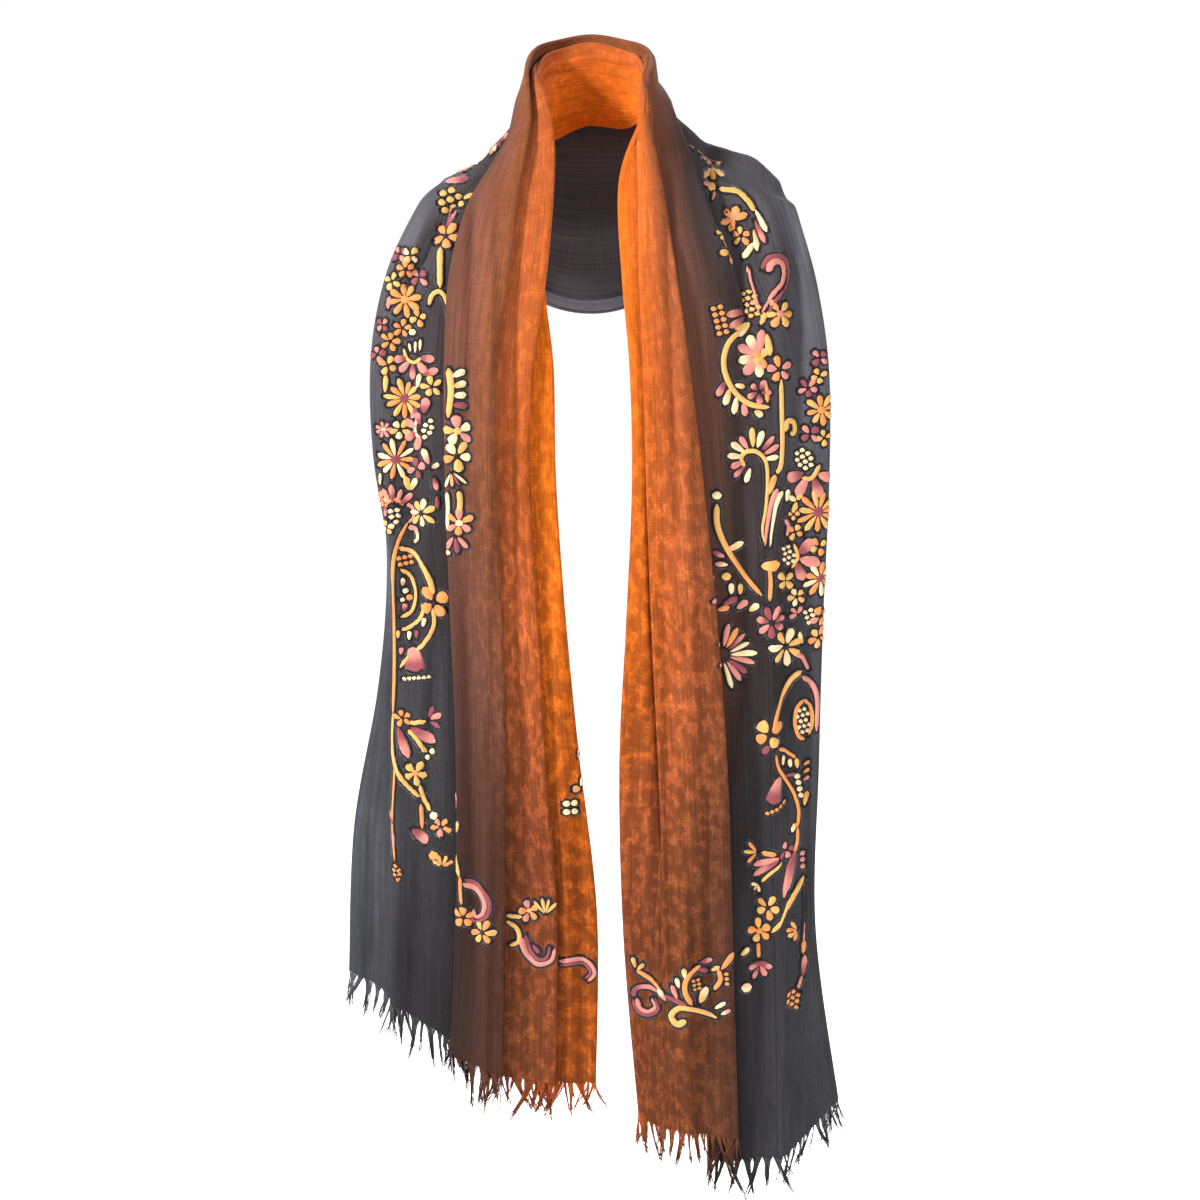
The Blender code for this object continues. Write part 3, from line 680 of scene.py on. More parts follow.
def fringe_strands(side, seed):
    """Tubes of three sides that hang from the hem.

    A strand's line starts on the hem and goes along the warp and down, drawn towards the middle of
    its clump, with a slow wave and a lean. Its radius shrinks to a half at the tip.
    """
    random = np.random.default_rng(seed)
    hem = front[side][-1]
    warp = hem - front[side][-4]
    warp /= np.linalg.norm(warp, axis=1)[:, None]
    face = (side * grid_normals(front[side]))[-1]
    dyes = dye_on(side, front_station[-1:], COLUMNS)[0]
    along = length_along(hem)
    root = (np.arange(STRANDS) + random.uniform(-0.3, 0.3, STRANDS)) / STRANDS * along[-1]
    cuts = np.cumsum(random.uniform(0.30, 1.70, STRANDS) * CLUMP_STRANDS)
    clump = np.searchsorted(cuts, np.arange(STRANDS))
    clump_middle = np.bincount(clump, root) / np.bincount(clump)
    clump_length = random.uniform(0.72, 1.22, clump.max() + 1)
    clump_lean = np.clip(random.normal(0.0, 0.28, clump.max() + 1), -0.5, 0.5)
    clump_swing = random.normal(0.0, 0.16, clump.max() + 1)

    def on_hem(values, places):
        return np.stack([np.interp(places, along, values[:, axis]) for axis in range(3)], axis=-1)

    start_at, fall, out = on_hem(hem, root), on_hem(warp, root), on_hem(face, root)
    fall = fall * WARP_FALL + STRAIGHT_FALL
    aside = np.cross(fall, out)
    aside /= np.linalg.norm(aside, axis=1)[:, None]
    length = STRAND_LENGTH * clump_length[clump] * random.uniform(0.72, 1.10, STRANDS)
    share = np.linspace(0.0, 1.0, STRAND_POINTS)[None, :]
    pull = (clump_middle[clump] - root)[:, None] * CLUMP_PULL * share**PULL_CURVE
    sideways = np.sum(aside * on_hem(np.gradient(hem, axis=0), root), axis=1)
    pull = pull * np.sign(sideways)[:, None]
    phase = random.uniform(0.0, 6.3, (STRANDS, 1))
    wave = random.uniform(0.0003, 0.0011, (STRANDS, 1))
    lean = clump_lean[clump][:, None] * length[:, None] * share**1.5
    flare = np.exp((root - along[-1]) / FLARE_WIDTH) - np.exp(-root / FLARE_WIDTH)
    lean += (flare * np.sign(sideways) * FLARE * length)[:, None] * share
    swing = (clump_swing[clump] + random.normal(0.0, 0.05, STRANDS))[:, None] * length[:, None]
    sway = pull + lean + wave * share * np.sin(phase + share * 7.0)
    lift = swing * share**1.4 + wave * share * np.cos(phase + share * 5.0)
    line = (
        start_at[:, None]
        + fall[:, None] * (length[:, None] * share)[..., None]
        + aside[:, None] * sway[..., None]
        + out[:, None] * lift[..., None]
    )
    radius = STRAND_RADIUS * random.uniform(0.75, 1.25, (STRANDS, 1)) * (1.0 - 0.5 * share**3)
    ring = (
        line[:, :, None]
        + (aside[:, None, None] * STRAND_ROUND[:, 0, None]) * radius[..., None, None]
        + (out[:, None, None] * STRAND_ROUND[:, 1, None]) * radius[..., None, None]
    )
    index = np.arange(STRANDS * STRAND_POINTS * 3).reshape(STRANDS, STRAND_POINTS, 3)
    wrapped = np.concatenate((index, index[..., :1]), axis=2)
    quads = np.stack(
        (wrapped[:, :-1, :-1], wrapped[:, :-1, 1:], wrapped[:, 1:, 1:], wrapped[:, 1:, :-1]), axis=-1
    ).reshape(-1, 4)
    caps = np.concatenate((index[:, 0, ::-1], index[:, -1]))
    whole = np.zeros(ring.shape[:3])
    strand_dye = np.interp(root, along, dyes)[:, None, None] + whole
    uv = np.stack((root[:, None, None] * 40.0 + whole, share[..., None] + whole), axis=-1)
    return ring.reshape(-1, 3), quads.tolist() + caps.tolist(), strand_dye.ravel(), uv.reshape(-1, 2)


for word, side, seed in (("left", -1.0, 4), ("right", 1.0, 9)):
    points, faces, dyes, uv = fringe_strands(side, seed)
    loose_ends = add_piece(f"loose_ends_{word}", points, faces, wool, uv)
    loose_ends.data.attributes.new("dye", "FLOAT", "POINT").data.foreach_set("value", dyes)
    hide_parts(f"fringe_{word}")

# The embroidery
# Crewel work in cream, yellow, orange, salmon and plum wool: padded satin stitch for petals and
# leaves, stem stitch for the vines, and a fine dark outline round each. It runs down the grey and
# brown side of both ends, turns across above the hem, and runs round the back below the collar.
STITCH = 0.0009  # one step of the layout, on the front as it hangs
SATIN_HEIGHT = 0.0012
OUTLINE_HEIGHT = 0.00035
OUTLINE_WIDTH = 2.6  # beyond the stitches that it goes round, in steps
SHORT_RUN = 7  # the rings of a run of two points, and the rings for each step of a longer line
LINE_RINGS = 5
THREADS = {
    "cream": (0.720, 0.560, 0.320),
    "yellow": (0.640, 0.350, 0.100),
    "orange": (0.660, 0.240, 0.065),
    "salmon": (0.560, 0.200, 0.160),
    "plum": (0.230, 0.050, 0.062),
    "dark": (0.010, 0.006, 0.008),
}
# A run's profiles, across and up: stitches, and an outline
ROUND_POINTS = np.array(((-1.0, 0.0), (-0.72, 0.70), (0.0, 1.0), (0.72, 0.70), (1.0, 0.0), (0.0, -0.6)))
FLAT_POINTS = np.array(((-1.0, 0.0), (-0.5, 1.0), (0.5, 1.0), (1.0, 0.0), (0.0, -1.0)))
STEM_BLUNT = 14.0  # how squarely each kind of run ends, from 2 for round
PETAL_BLUNT = 2.6
BEAD_BLUNT = 2.0

hand = np.random.default_rng(3)


def band(points, start_width, end_width, start_colour, end_colour=None, blunt=3.0):
    """One padded run of stitches: a smooth line through its points, with a width and a colour at
    either end. Blunt is how squarely it ends."""
    line = np.array(points, dtype=float)
    return (line, start_width, end_width, start_colour, end_colour or start_colour, blunt)


def leaves(rows_of_colours):
    """Leaves and buds from a table: a foot, a tip and a width, by the colours from foot to tip."""
    return [
        [band((foot_and_tip[:2], foot_and_tip[2:]), 0.6 * width, width, *colours.split("-"))]
        for colours, rows in rows_of_colours.items()
        for *foot_and_tip, width in rows
    ]


def stem(points, width, colour, end_width=None, end_colour=None):
    """A vine or a scroll along its points."""
    return [band(points, width, end_width or width, colour, end_colour, STEM_BLUNT)]


def bead(x, z, size, colour):
    """A round knot of thread."""
    ends = ((x - size / 2.0, z), (x + size / 2.0, z))
    return [band(ends, size, size, colour, None, BEAD_BLUNT)]


def scroll(points, width, colour, lining, end_width=None):
    """A thick scroll in one colour, with a thinner line of another along its hollow side."""
    line = np.array(points, dtype=float)
    tangent = np.gradient(line, axis=0)
    tangent /= np.linalg.norm(tangent, axis=1)[:, None]
    bend = tangent[0, 0] * tangent[-1, 1] - tangent[0, 1] * tangent[-1, 0]
    aside = np.stack((-tangent[:, 1], tangent[:, 0]), axis=1) * math.copysign(0.30 * width, bend)
    end_width = end_width or width
    return [
        band(line + aside, 0.5 * width, 0.5 * end_width, lining, None, STEM_BLUNT),
        band(line - 0.5 * aside, 0.62 * width, 0.62 * end_width, colour, None, STEM_BLUNT),
    ]


def petals(x, z, inner, outer, first, last, count, colours, spread=0.76):
    """Petals round a middle, from the first angle to the last, each from the inner radius to the
    outer one, as wide as their share of a circle between the two radii. By hand no two petals come
    out the same, so each angle, length and width is a little off."""
    bands = []
    words = colours.split()
    share = abs(last - first) / max(count - 1, 1)
    angles = np.radians(np.linspace(first, last, count) + hand.uniform(-0.09, 0.09, count) * share)
    width = spread * 2.0 * math.sin(math.radians(share) / 2.0) * (inner + 1.6 * outer) / 2.0
    for index, angle in enumerate(angles):
        ray = np.array((math.cos(angle), math.sin(angle)))
        foot, tip = (x, z) + ray * inner, (x, z) + ray * outer * hand.uniform(0.86, 1.10)
        pair = words[index % len(words)].split("-")
        full = width * hand.uniform(0.82, 1.08)
        bands.append(band((foot, tip), 0.5 * full, full, pair[0], pair[-1], PETAL_BLUNT))
    return bands


def blossom(x, z, size, count, turn, colours, heart=None):
    """A whole flower, with a knot at its heart."""
    last = turn + 360.0 - 360.0 / count
    ring = petals(x, z, 0.22 * size, 1.08 * size, turn, last, count, colours)
    return ring + (bead(x, z, 0.55 * size, heart) if heart else [])


def berries(x, z, turn, rows, size, colour):
    """Knots in rows beside each other, with the rows along the turned direction."""
    bands = []
    along = np.array((math.cos(math.radians(turn)), math.sin(math.radians(turn))))
    aside = np.array((-along[1], along[0]))
    for row, count in enumerate(rows):
        for place_in_row in range(count):
            middle = (
                along * (row - (len(rows) - 1) / 2.0) * size * 1.15
                + aside * (place_in_row - (count - 1) / 2.0) * size * 1.25
            )
            bands += bead(x + middle[0], z + middle[1], size, colour)
    return bands


def smooth_line(points, share):
    """Places along a line of points at shares of it, on the cubic whose slope at a point is half
    the step between its neighbours."""
    if len(points) == 2:
        return points[0] + (points[1] - points[0]) * share[:, None]
    padded = np.vstack((2.0 * points[0] - points[1], points, 2.0 * points[-1] - points[-2]))
    at = share * (len(points) - 1)
    first = np.minimum(at.astype(int), len(points) - 2)
    part = (at - first)[:, None]
    before, start, end, after = (padded[first + offset] for offset in range(4))
    return 0.5 * (
        2.0 * start
        + (end - before) * part
        + (2.0 * before - 5.0 * start + 4.0 * end - after) * part**2
        + (3.0 * start - before - 3.0 * end + after) * part**3
    )


def stitched(run, is_outline):
    """A run's rings: their places in the layout, heights above the cloth, colours, UV and faces.

    At each share of the line the half-width is a blend of the end widths times the root of one
    less the distance from the middle to the blunt power, and the profile is scaled by it. The
    padding has its full height on runs that are six steps wide or more.
    """
    line, start_width, end_width, start_colour, end_colour, blunt = run
    count = SHORT_RUN if len(line) == 2 else LINE_RINGS * (len(line) - 1) + 1
    share = np.linspace(0.0, 1.0, count)
    curve = smooth_line(line, share)
    tangent = np.gradient(curve, axis=0)
    tangent /= np.maximum(np.linalg.norm(tangent, axis=1, keepdims=True), 1e-9)
    aside = np.stack((-tangent[:, 1], tangent[:, 0]), axis=1)
    ends = np.sqrt(1.0 - 0.94 * np.abs(2.0 * share - 1.0) ** blunt)
    half = (start_width + (end_width - start_width) * share) / 2.0 * ends
    profile, height = ROUND_POINTS, SATIN_HEIGHT * min(1.0, max(start_width, end_width) / 6.0)
    if is_outline:
        profile, height = FLAT_POINTS, OUTLINE_HEIGHT
        half = half + OUTLINE_WIDTH
        curve = curve + tangent * ((2.0 * share - 1.0) ** 9 * OUTLINE_WIDTH)[:, None]
    places = curve[:, None] + aside[:, None] * (half[:, None] * profile[:, 0])[..., None]
    heights = (0.4 + 0.6 * ends)[:, None] * profile[:, 1] * height
    first, last = np.array(THREADS[start_colour]), np.array(THREADS[end_colour])
    colours = first + (last - first) * soft_step(0.25, 0.75, share)[:, None]
    colours = np.repeat(colours[:, None], len(profile), axis=1)
    if is_outline:
        colours = colours * 0.0 + THREADS["dark"]
    along = np.cumsum(np.linalg.norm(np.diff(curve, axis=0, prepend=curve[:1]), axis=1))
    uv = np.stack(np.broadcast_arrays(along[:, None], half[:, None] * profile[:, 0]), axis=-1)
    size = len(profile)
    ring = np.arange(count * size).reshape(count, size)
    faces = grid_quads(np.concatenate((ring, ring[:, :1]), axis=1)).tolist()
    faces += [ring[0].tolist(), ring[-1, ::-1].tolist()]
    return places.reshape(-1, 2), heights.ravel(), colours.reshape(-1, 3), uv.reshape(-1, 2), faces


SIDE_ROWS = 330
TOP_ROW = int(SIDE_ROWS * 3.7 / HEM)  # on the shoulder, where the layout starts
SHOULDER_FOOT = -130.0  # above here only strip D is embroidered
C_CORNER = 10  # the corner at which strip C starts
side_station = np.linspace(0.0, HEM, SIDE_ROWS)
full_side = {side: section_grid(side, side_station) for side in (-1.0, 1.0)}


def raise_off(grid, face, row, starts, ends, part, beyond, heights):
    """Points above a grid, at a fractional row and at a length of cloth along it.

    The length is a part of the way between two columns and a distance beyond. In each of the two
    rows beside the fractional row the length picks the place, and the two are blended. All rows are
    searched at once, as a ladder in which each row starts a stride above the last.
    """
    across = length_along(grid, 1)
    stride = across.max() * 2.0
    ladder = (across + np.arange(len(grid))[:, None] * stride).ravel()
    spots, faced = grid.reshape(-1, 3), face.reshape(-1, 3)
    low = row.astype(int)
    point, normal = 0.0, 0.0
    for at, weight in ((low, 1.0 - (row - low)), (low + 1, row - low)):
        sought = across[at, starts] + part * (across[at, ends] - across[at, starts]) + beyond
        sought = np.clip(sought, 1e-5, across[at, -1] - 1e-5) + at * stride
        index = np.interp(sought, ladder, np.arange(ladder.size))
        base = np.minimum(index.astype(int), ladder.size - 2)
        rest = (index - base)[:, None]
        point = point + (spots[base] * (1.0 - rest) + spots[base + 1] * rest) * weight[:, None]
        normal = normal + (faced[base] * (1.0 - rest) + faced[base + 1] * rest) * weight[:, None]
    normal /= np.maximum(np.linalg.norm(normal, axis=1, keepdims=True), 1e-9)
    return point + normal * (CLOTH_WALL / 2.0 + heights)[:, None]


def lay_on_front(side, places, heights, strips):
    """Layout places on the front, carried to the cloth.

    The height in the layout picks the row of the cloth, and the distance out picks how far along
    the section, in length of cloth, so that a flower beside a fold goes on round it. Each helps to
    pick the other, so this goes round five times.
    """
    grid = full_side[side]
    starts, ends = np.array([STRIP_SPANS[name] for name in strips]).T
    out, up = side * places[:, 0] * STITCH, places[:, 1] * STITCH
    falling = np.maximum.accumulate(-grid[TOP_ROW:, :, 2], axis=0)
    falling += np.arange(len(falling))[:, None] * 1e-7
    depth = falling.max() - falling.min() + 1.0
    ladder = (falling.T + np.arange(grid.shape[1])[:, None] * depth).ravel()
    part = np.full(len(out), 0.5)
    for _ in range(5):
        column = np.clip(np.rint(starts + part * (ends - starts)), starts, ends).astype(int)
        sought = np.clip(-up, falling[0, column], falling[-1, column]) + column * depth
        row = np.interp(sought, ladder, np.arange(ladder.size)) - column * len(falling) + TOP_ROW
        row = np.clip(row, TOP_ROW, len(grid) - 1.001)
        low = row.astype(int)
        first = side * grid[low, starts, 0]
        last = side * grid[low, ends, 0]
        part = (out - first) / np.maximum(last - first, 1e-4)
    clipped = np.clip(part, 0.0, 1.0)
    beyond = out - (first + clipped * (last - first))
    return raise_off(grid, side * grid_normals(grid), row, starts, ends, clipped, beyond, heights)


def lay_on_back(places, heights):
    """Layout places round the back, carried to strip D: along the cloth from the nape, and down
    from the strip's own start."""
    grid = neck[::-1]
    face = neck_face[::-1]
    column = STRIP_SPANS["d"][0]
    along = length_along(grid[:, (column + STRIP_SPANS["d"][1]) // 2])
    along -= along[NECK_ROWS - 1]
    row = np.interp(places[:, 0] * STITCH, along, np.arange(len(grid)))
    row = np.clip(row, 0.0, len(grid) - 1.001)
    starts = np.full(len(row), column)
    none = np.zeros(len(row))
    return raise_off(grid, face, row, starts, starts, none, -places[:, 1] * STITCH, heights)


def strip_under(side, x, z):
    """The strip that shows at a place in the layout: on the shoulder strip D, and below it the last
    whose inner fold lies within the place."""
    if z > SHOULDER_FOOT:
        return "d"
    column = STRIP_SPANS["c"][0]
    row = TOP_ROW + int(np.argmin(np.abs(full_side[side][TOP_ROW:, column, 2] - z * STITCH)))
    fold = dict(zip(FOLD_COLUMNS, read_rows(FOLDS[side], side_station)[row]))
    start = fold_corners(side, side_station)[row, C_CORNER, 0]
    out = side * x * STITCH - abs(full_side[side][row, column, 0]) + start
    for name, inner in (("e", "de"), ("d", "cd"), ("c", "bc"), ("b", "ab")):
        if out > fold[inner]:
            return name
    return "a"


def embroider(name, side, motifs):
    """All of one side's motifs as one piece: the stitches over their outlines. Side 0 is the back."""
    parts = []
    for bands in motifs:
        whole = np.concatenate([run[0] for run in bands])
        strip_name = strip_under(side, *whole.mean(axis=0)) if side else "d"
        for is_outline in (True, False):
            for run in bands:
                parts.append((*stitched(run, is_outline), strip_name))
    places, heights, colours, uv, run_faces, run_strips = zip(*parts)
    counts = [len(part) for part in places]
    offsets = np.concatenate(([0], np.cumsum(counts)[:-1]))
    places, heights, colours, uv = map(np.concatenate, (places, heights, colours, uv))
    strips = np.repeat(run_strips, counts)
    points = lay_on_front(side, places, heights, strips) if side else lay_on_back(places, heights)
    faces = [
        [corner + int(offset) for corner in (face if side > 0 else face[::-1])]
        for part, offset in zip(run_faces, offsets)
        for face in part
    ]
    piece = add_piece(name, points, faces, crewel, uv * STITCH)
    tint = piece.data.color_attributes.new("thread", "FLOAT_COLOR", "POINT")
    tint.data.foreach_set("color", np.column_stack((colours, np.ones(len(colours)))).ravel())


crewel, crewel_shader, start = new_finish("crewel_wool", 0.55, 0.15)
thread_colour = start.node("ShaderNodeAttribute", {"attribute_name": "thread"})
crewel_place = start.node("ShaderNodeUVMap", {"uv_map": "cloth"})
strands = stretched_noise(start, crewel_place, 160.0, 2600.0, 2.0)
laid = tinted(start, thread_colour, 0.62 + strands * 0.70)
relief = start.node("ShaderNodeBump", None, Strength=0.6, Distance=0.0004, Height=strands)
start.tree.links.new(laid.socket, crewel_shader.inputs["Base Color"])
start.tree.links.new(relief.socket, crewel_shader.inputs["Normal"])

WARM = "orange yellow"
PINK = "plum-salmon salmon"

# The leaves and buds of each side, by their colours from foot to tip: foot, tip and width, in steps
LEFT_LEAVES = {
    "cream": (
        (-112, -56, -106, -44, 7), (-180, -250, -181, -242, 4), (-175, -251, -174, -240, 4),
        (-170, -249, -169, -238, 4), (-173, -286, -170, -272, 7), (-213, -384, -212, -372, 5),
        (-169, -527, -166, -518, 6), (-185, -541, -184, -532, 6), (-137, -274, -126, -268, 9),
        (-136, -293, -125, -292, 9), (-11, -692, -8, -680, 6),
    ),
    "cream-salmon": ((-131, -60, -122, -52, 8),),
    "yellow": (
        (-128, -99, -117, -95, 6), (-206, -291, -205, -274, 7), (-184, -389, -186, -375, 9),
        (-196, -540, -195, -532, 5),
    ),
    "yellow-cream": ((-182, -389, -174, -377, 9), (-136, -284, -125, -280, 9)),
    "orange": ((-84, -30, -80, -20, 7),),
    "orange-yellow": (
        (-103, -28, -88, -22, 9), (-153, -300, -152, -314, 7), (-152, -320, -153, -334, 7),
    ),
    "salmon": ((-202, -208, -200, -196, 7), (-193, -556, -192, -549, 6), (-203, -762, -204, -742, 5)),
    "salmon-cream": (
        (-104, -56, -98, -46, 7), (-138, -72, -125, -62, 10), (-161, -362, -167, -347, 9),
        (-158, -366, -151, -362, 7), (-191, -486, -190, -478, 6), (-13, -663, -11, -650, 6),
    ),
    "salmon-plum": (
        (-147, -82, -123, -79, 10), (-180, -317, -174, -306, 9), (-208, -416, -207, -404, 6),
    ),
    "plum": (
        (-153, -394, -153, -406, 6), (-177, -539, -176, -531, 6), (-137, -302, -124, -303, 9),
        (-60, -858, -53, -866, 6),
    ),
    "plum-salmon": (
        (-94, -42, -86, -34, 7), (-120, -52, -113, -44, 6), (-143, -127, -136, -106, 12),
        (-167, -273, -152, -268, 10), (-166, -311, -163, -296, 12), (-152, -252, -151, -238, 7),
        (-154, -342, -151, -352, 8), (-156, -376, -153, -388, 7), (-190, -512, -188, -504, 7),
        (-184, -632, -159, -647, 15), (-197, -632, -187, -663, 12), (-184, -738, -168, -752, 14),
        (-139, -716, -141, -697, 9), (-204, -735, -209, -722, 5), (-97, -840, -93, -853, 7),
    ),
}
RIGHT_LEAVES = {
    "cream": (
        (164, -110, 174, -132, 7), (161, -143, 152, -158, 8), (145, -295, 142, -312, 9),
        (140, -493, 140, -482, 8), (196, -400, 198, -388, 7), (195, -670, 195, -660, 6),
        (203, -674, 202, -665, 6), (90, -900, 87, -890, 7), (128, -924, 138, -917, 6),
    ),
    "cream-yellow": ((143, -283, 153, -285, 7), (205, -742, 209, -733, 6), (96, -889, 95, -879, 7)),
    "cream-salmon": ((136, -463, 124, -462, 7), (134, -930, 143, -925, 6)),
    "yellow": (
        (109, -34, 114, -47, 7), (160, -222, 142, -228, 8), (168, -224, 172, -212, 7),
        (174, -233, 178, -254, 9), (150, -494, 150, -483, 8), (210, -675, 209, -665, 6),
        (124, -884, 132, -879, 6),
    ),
    "yellow-cream": (
        (162, -130, 165, -151, 7), (160, -223, 146, -235, 8), (138, -287, 133, -303, 9),
        (163, -309, 171, -314, 9), (134, -449, 153, -441, 9), (160, -511, 169, -504, 9),
        (214, -546, 211, -534, 6), (112, -917, 119, -901, 12), (153, -870, 161, -863, 8),
    ),
    "yellow-orange": (
        (178, -391, 184, -373, 9), (170, -463, 189, -463, 14), (218, -715, 222, -700, 8),
        (47, -882, 54, -876, 6),
    ),
    "orange": (
        (174, -280, 176, -300, 6), (124, -472, 127, -480, 7), (127, -509, 138, -506, 8),
        (217, -672, 224, -669, 5), (217, -680, 224, -677, 5), (219, -872, 220, -858, 7),
        (134, -882, 146, -864, 8), (148, -878, 152, -866, 6),
    ),
    "orange-yellow": ((133, -49, 130, -65, 6), (45, -880, 42, -869, 6)),
    "salmon": (
        (120, -100, 124, -92, 5), (152, -301, 154, -314, 9), (121, -500, 134, -495, 9),
        (146, -508, 158, -501, 10), (217, -688, 224, -685, 5), (193, -769, 166, -776, 9),
        (88, -912, 82, -898, 7),
    ),
    "salmon-cream": ((78, -913, 69, -900, 7),),
    "salmon-plum": ((133, -455, 122, -450, 7),),
    "plum": (
        (125, -492, 130, -484, 8), (133, -503, 146, -497, 9), (182, -650, 175, -658, 9),
        (198, -683, 208, -681, 6), (166, -881, 183, -881, 8), (73, -909, 97, -918, 7),
        (108, -880, 120, -884, 7),
    ),
    "plum-salmon": (
        (113, -98, 110, -90, 5), (163, -120, 172, -143, 7), (139, -118, 147, -118, 5),
        (155, -210, 133, -214, 10), (154, -216, 136, -226, 9), (133, -280, 126, -294, 9),
        (193, -771, 166, -787, 9), (209, -762, 197, -807, 12), (219, -896, 221, -874, 8),
        (112, -874, 125, -872, 7),
    ),
}
BACK_LEAVES = {
    "yellow-cream": ((-134, -98, -126, -82, 9), (150, -92, 160, -74, 9)),
    "yellow-orange": ((-66, -146, -54, -128, 10),),
    "orange-yellow": ((58, -142, 66, -122, 9),),
    "salmon-cream": ((12, -160, 24, -176, 10),),
    "plum-salmon": (
        (-170, -88, -158, -70, 10), (-40, -140, -32, -160, 10), (108, -118, 122, -136, 10),
        (184, -82, 192, -96, 8),
    ),
}

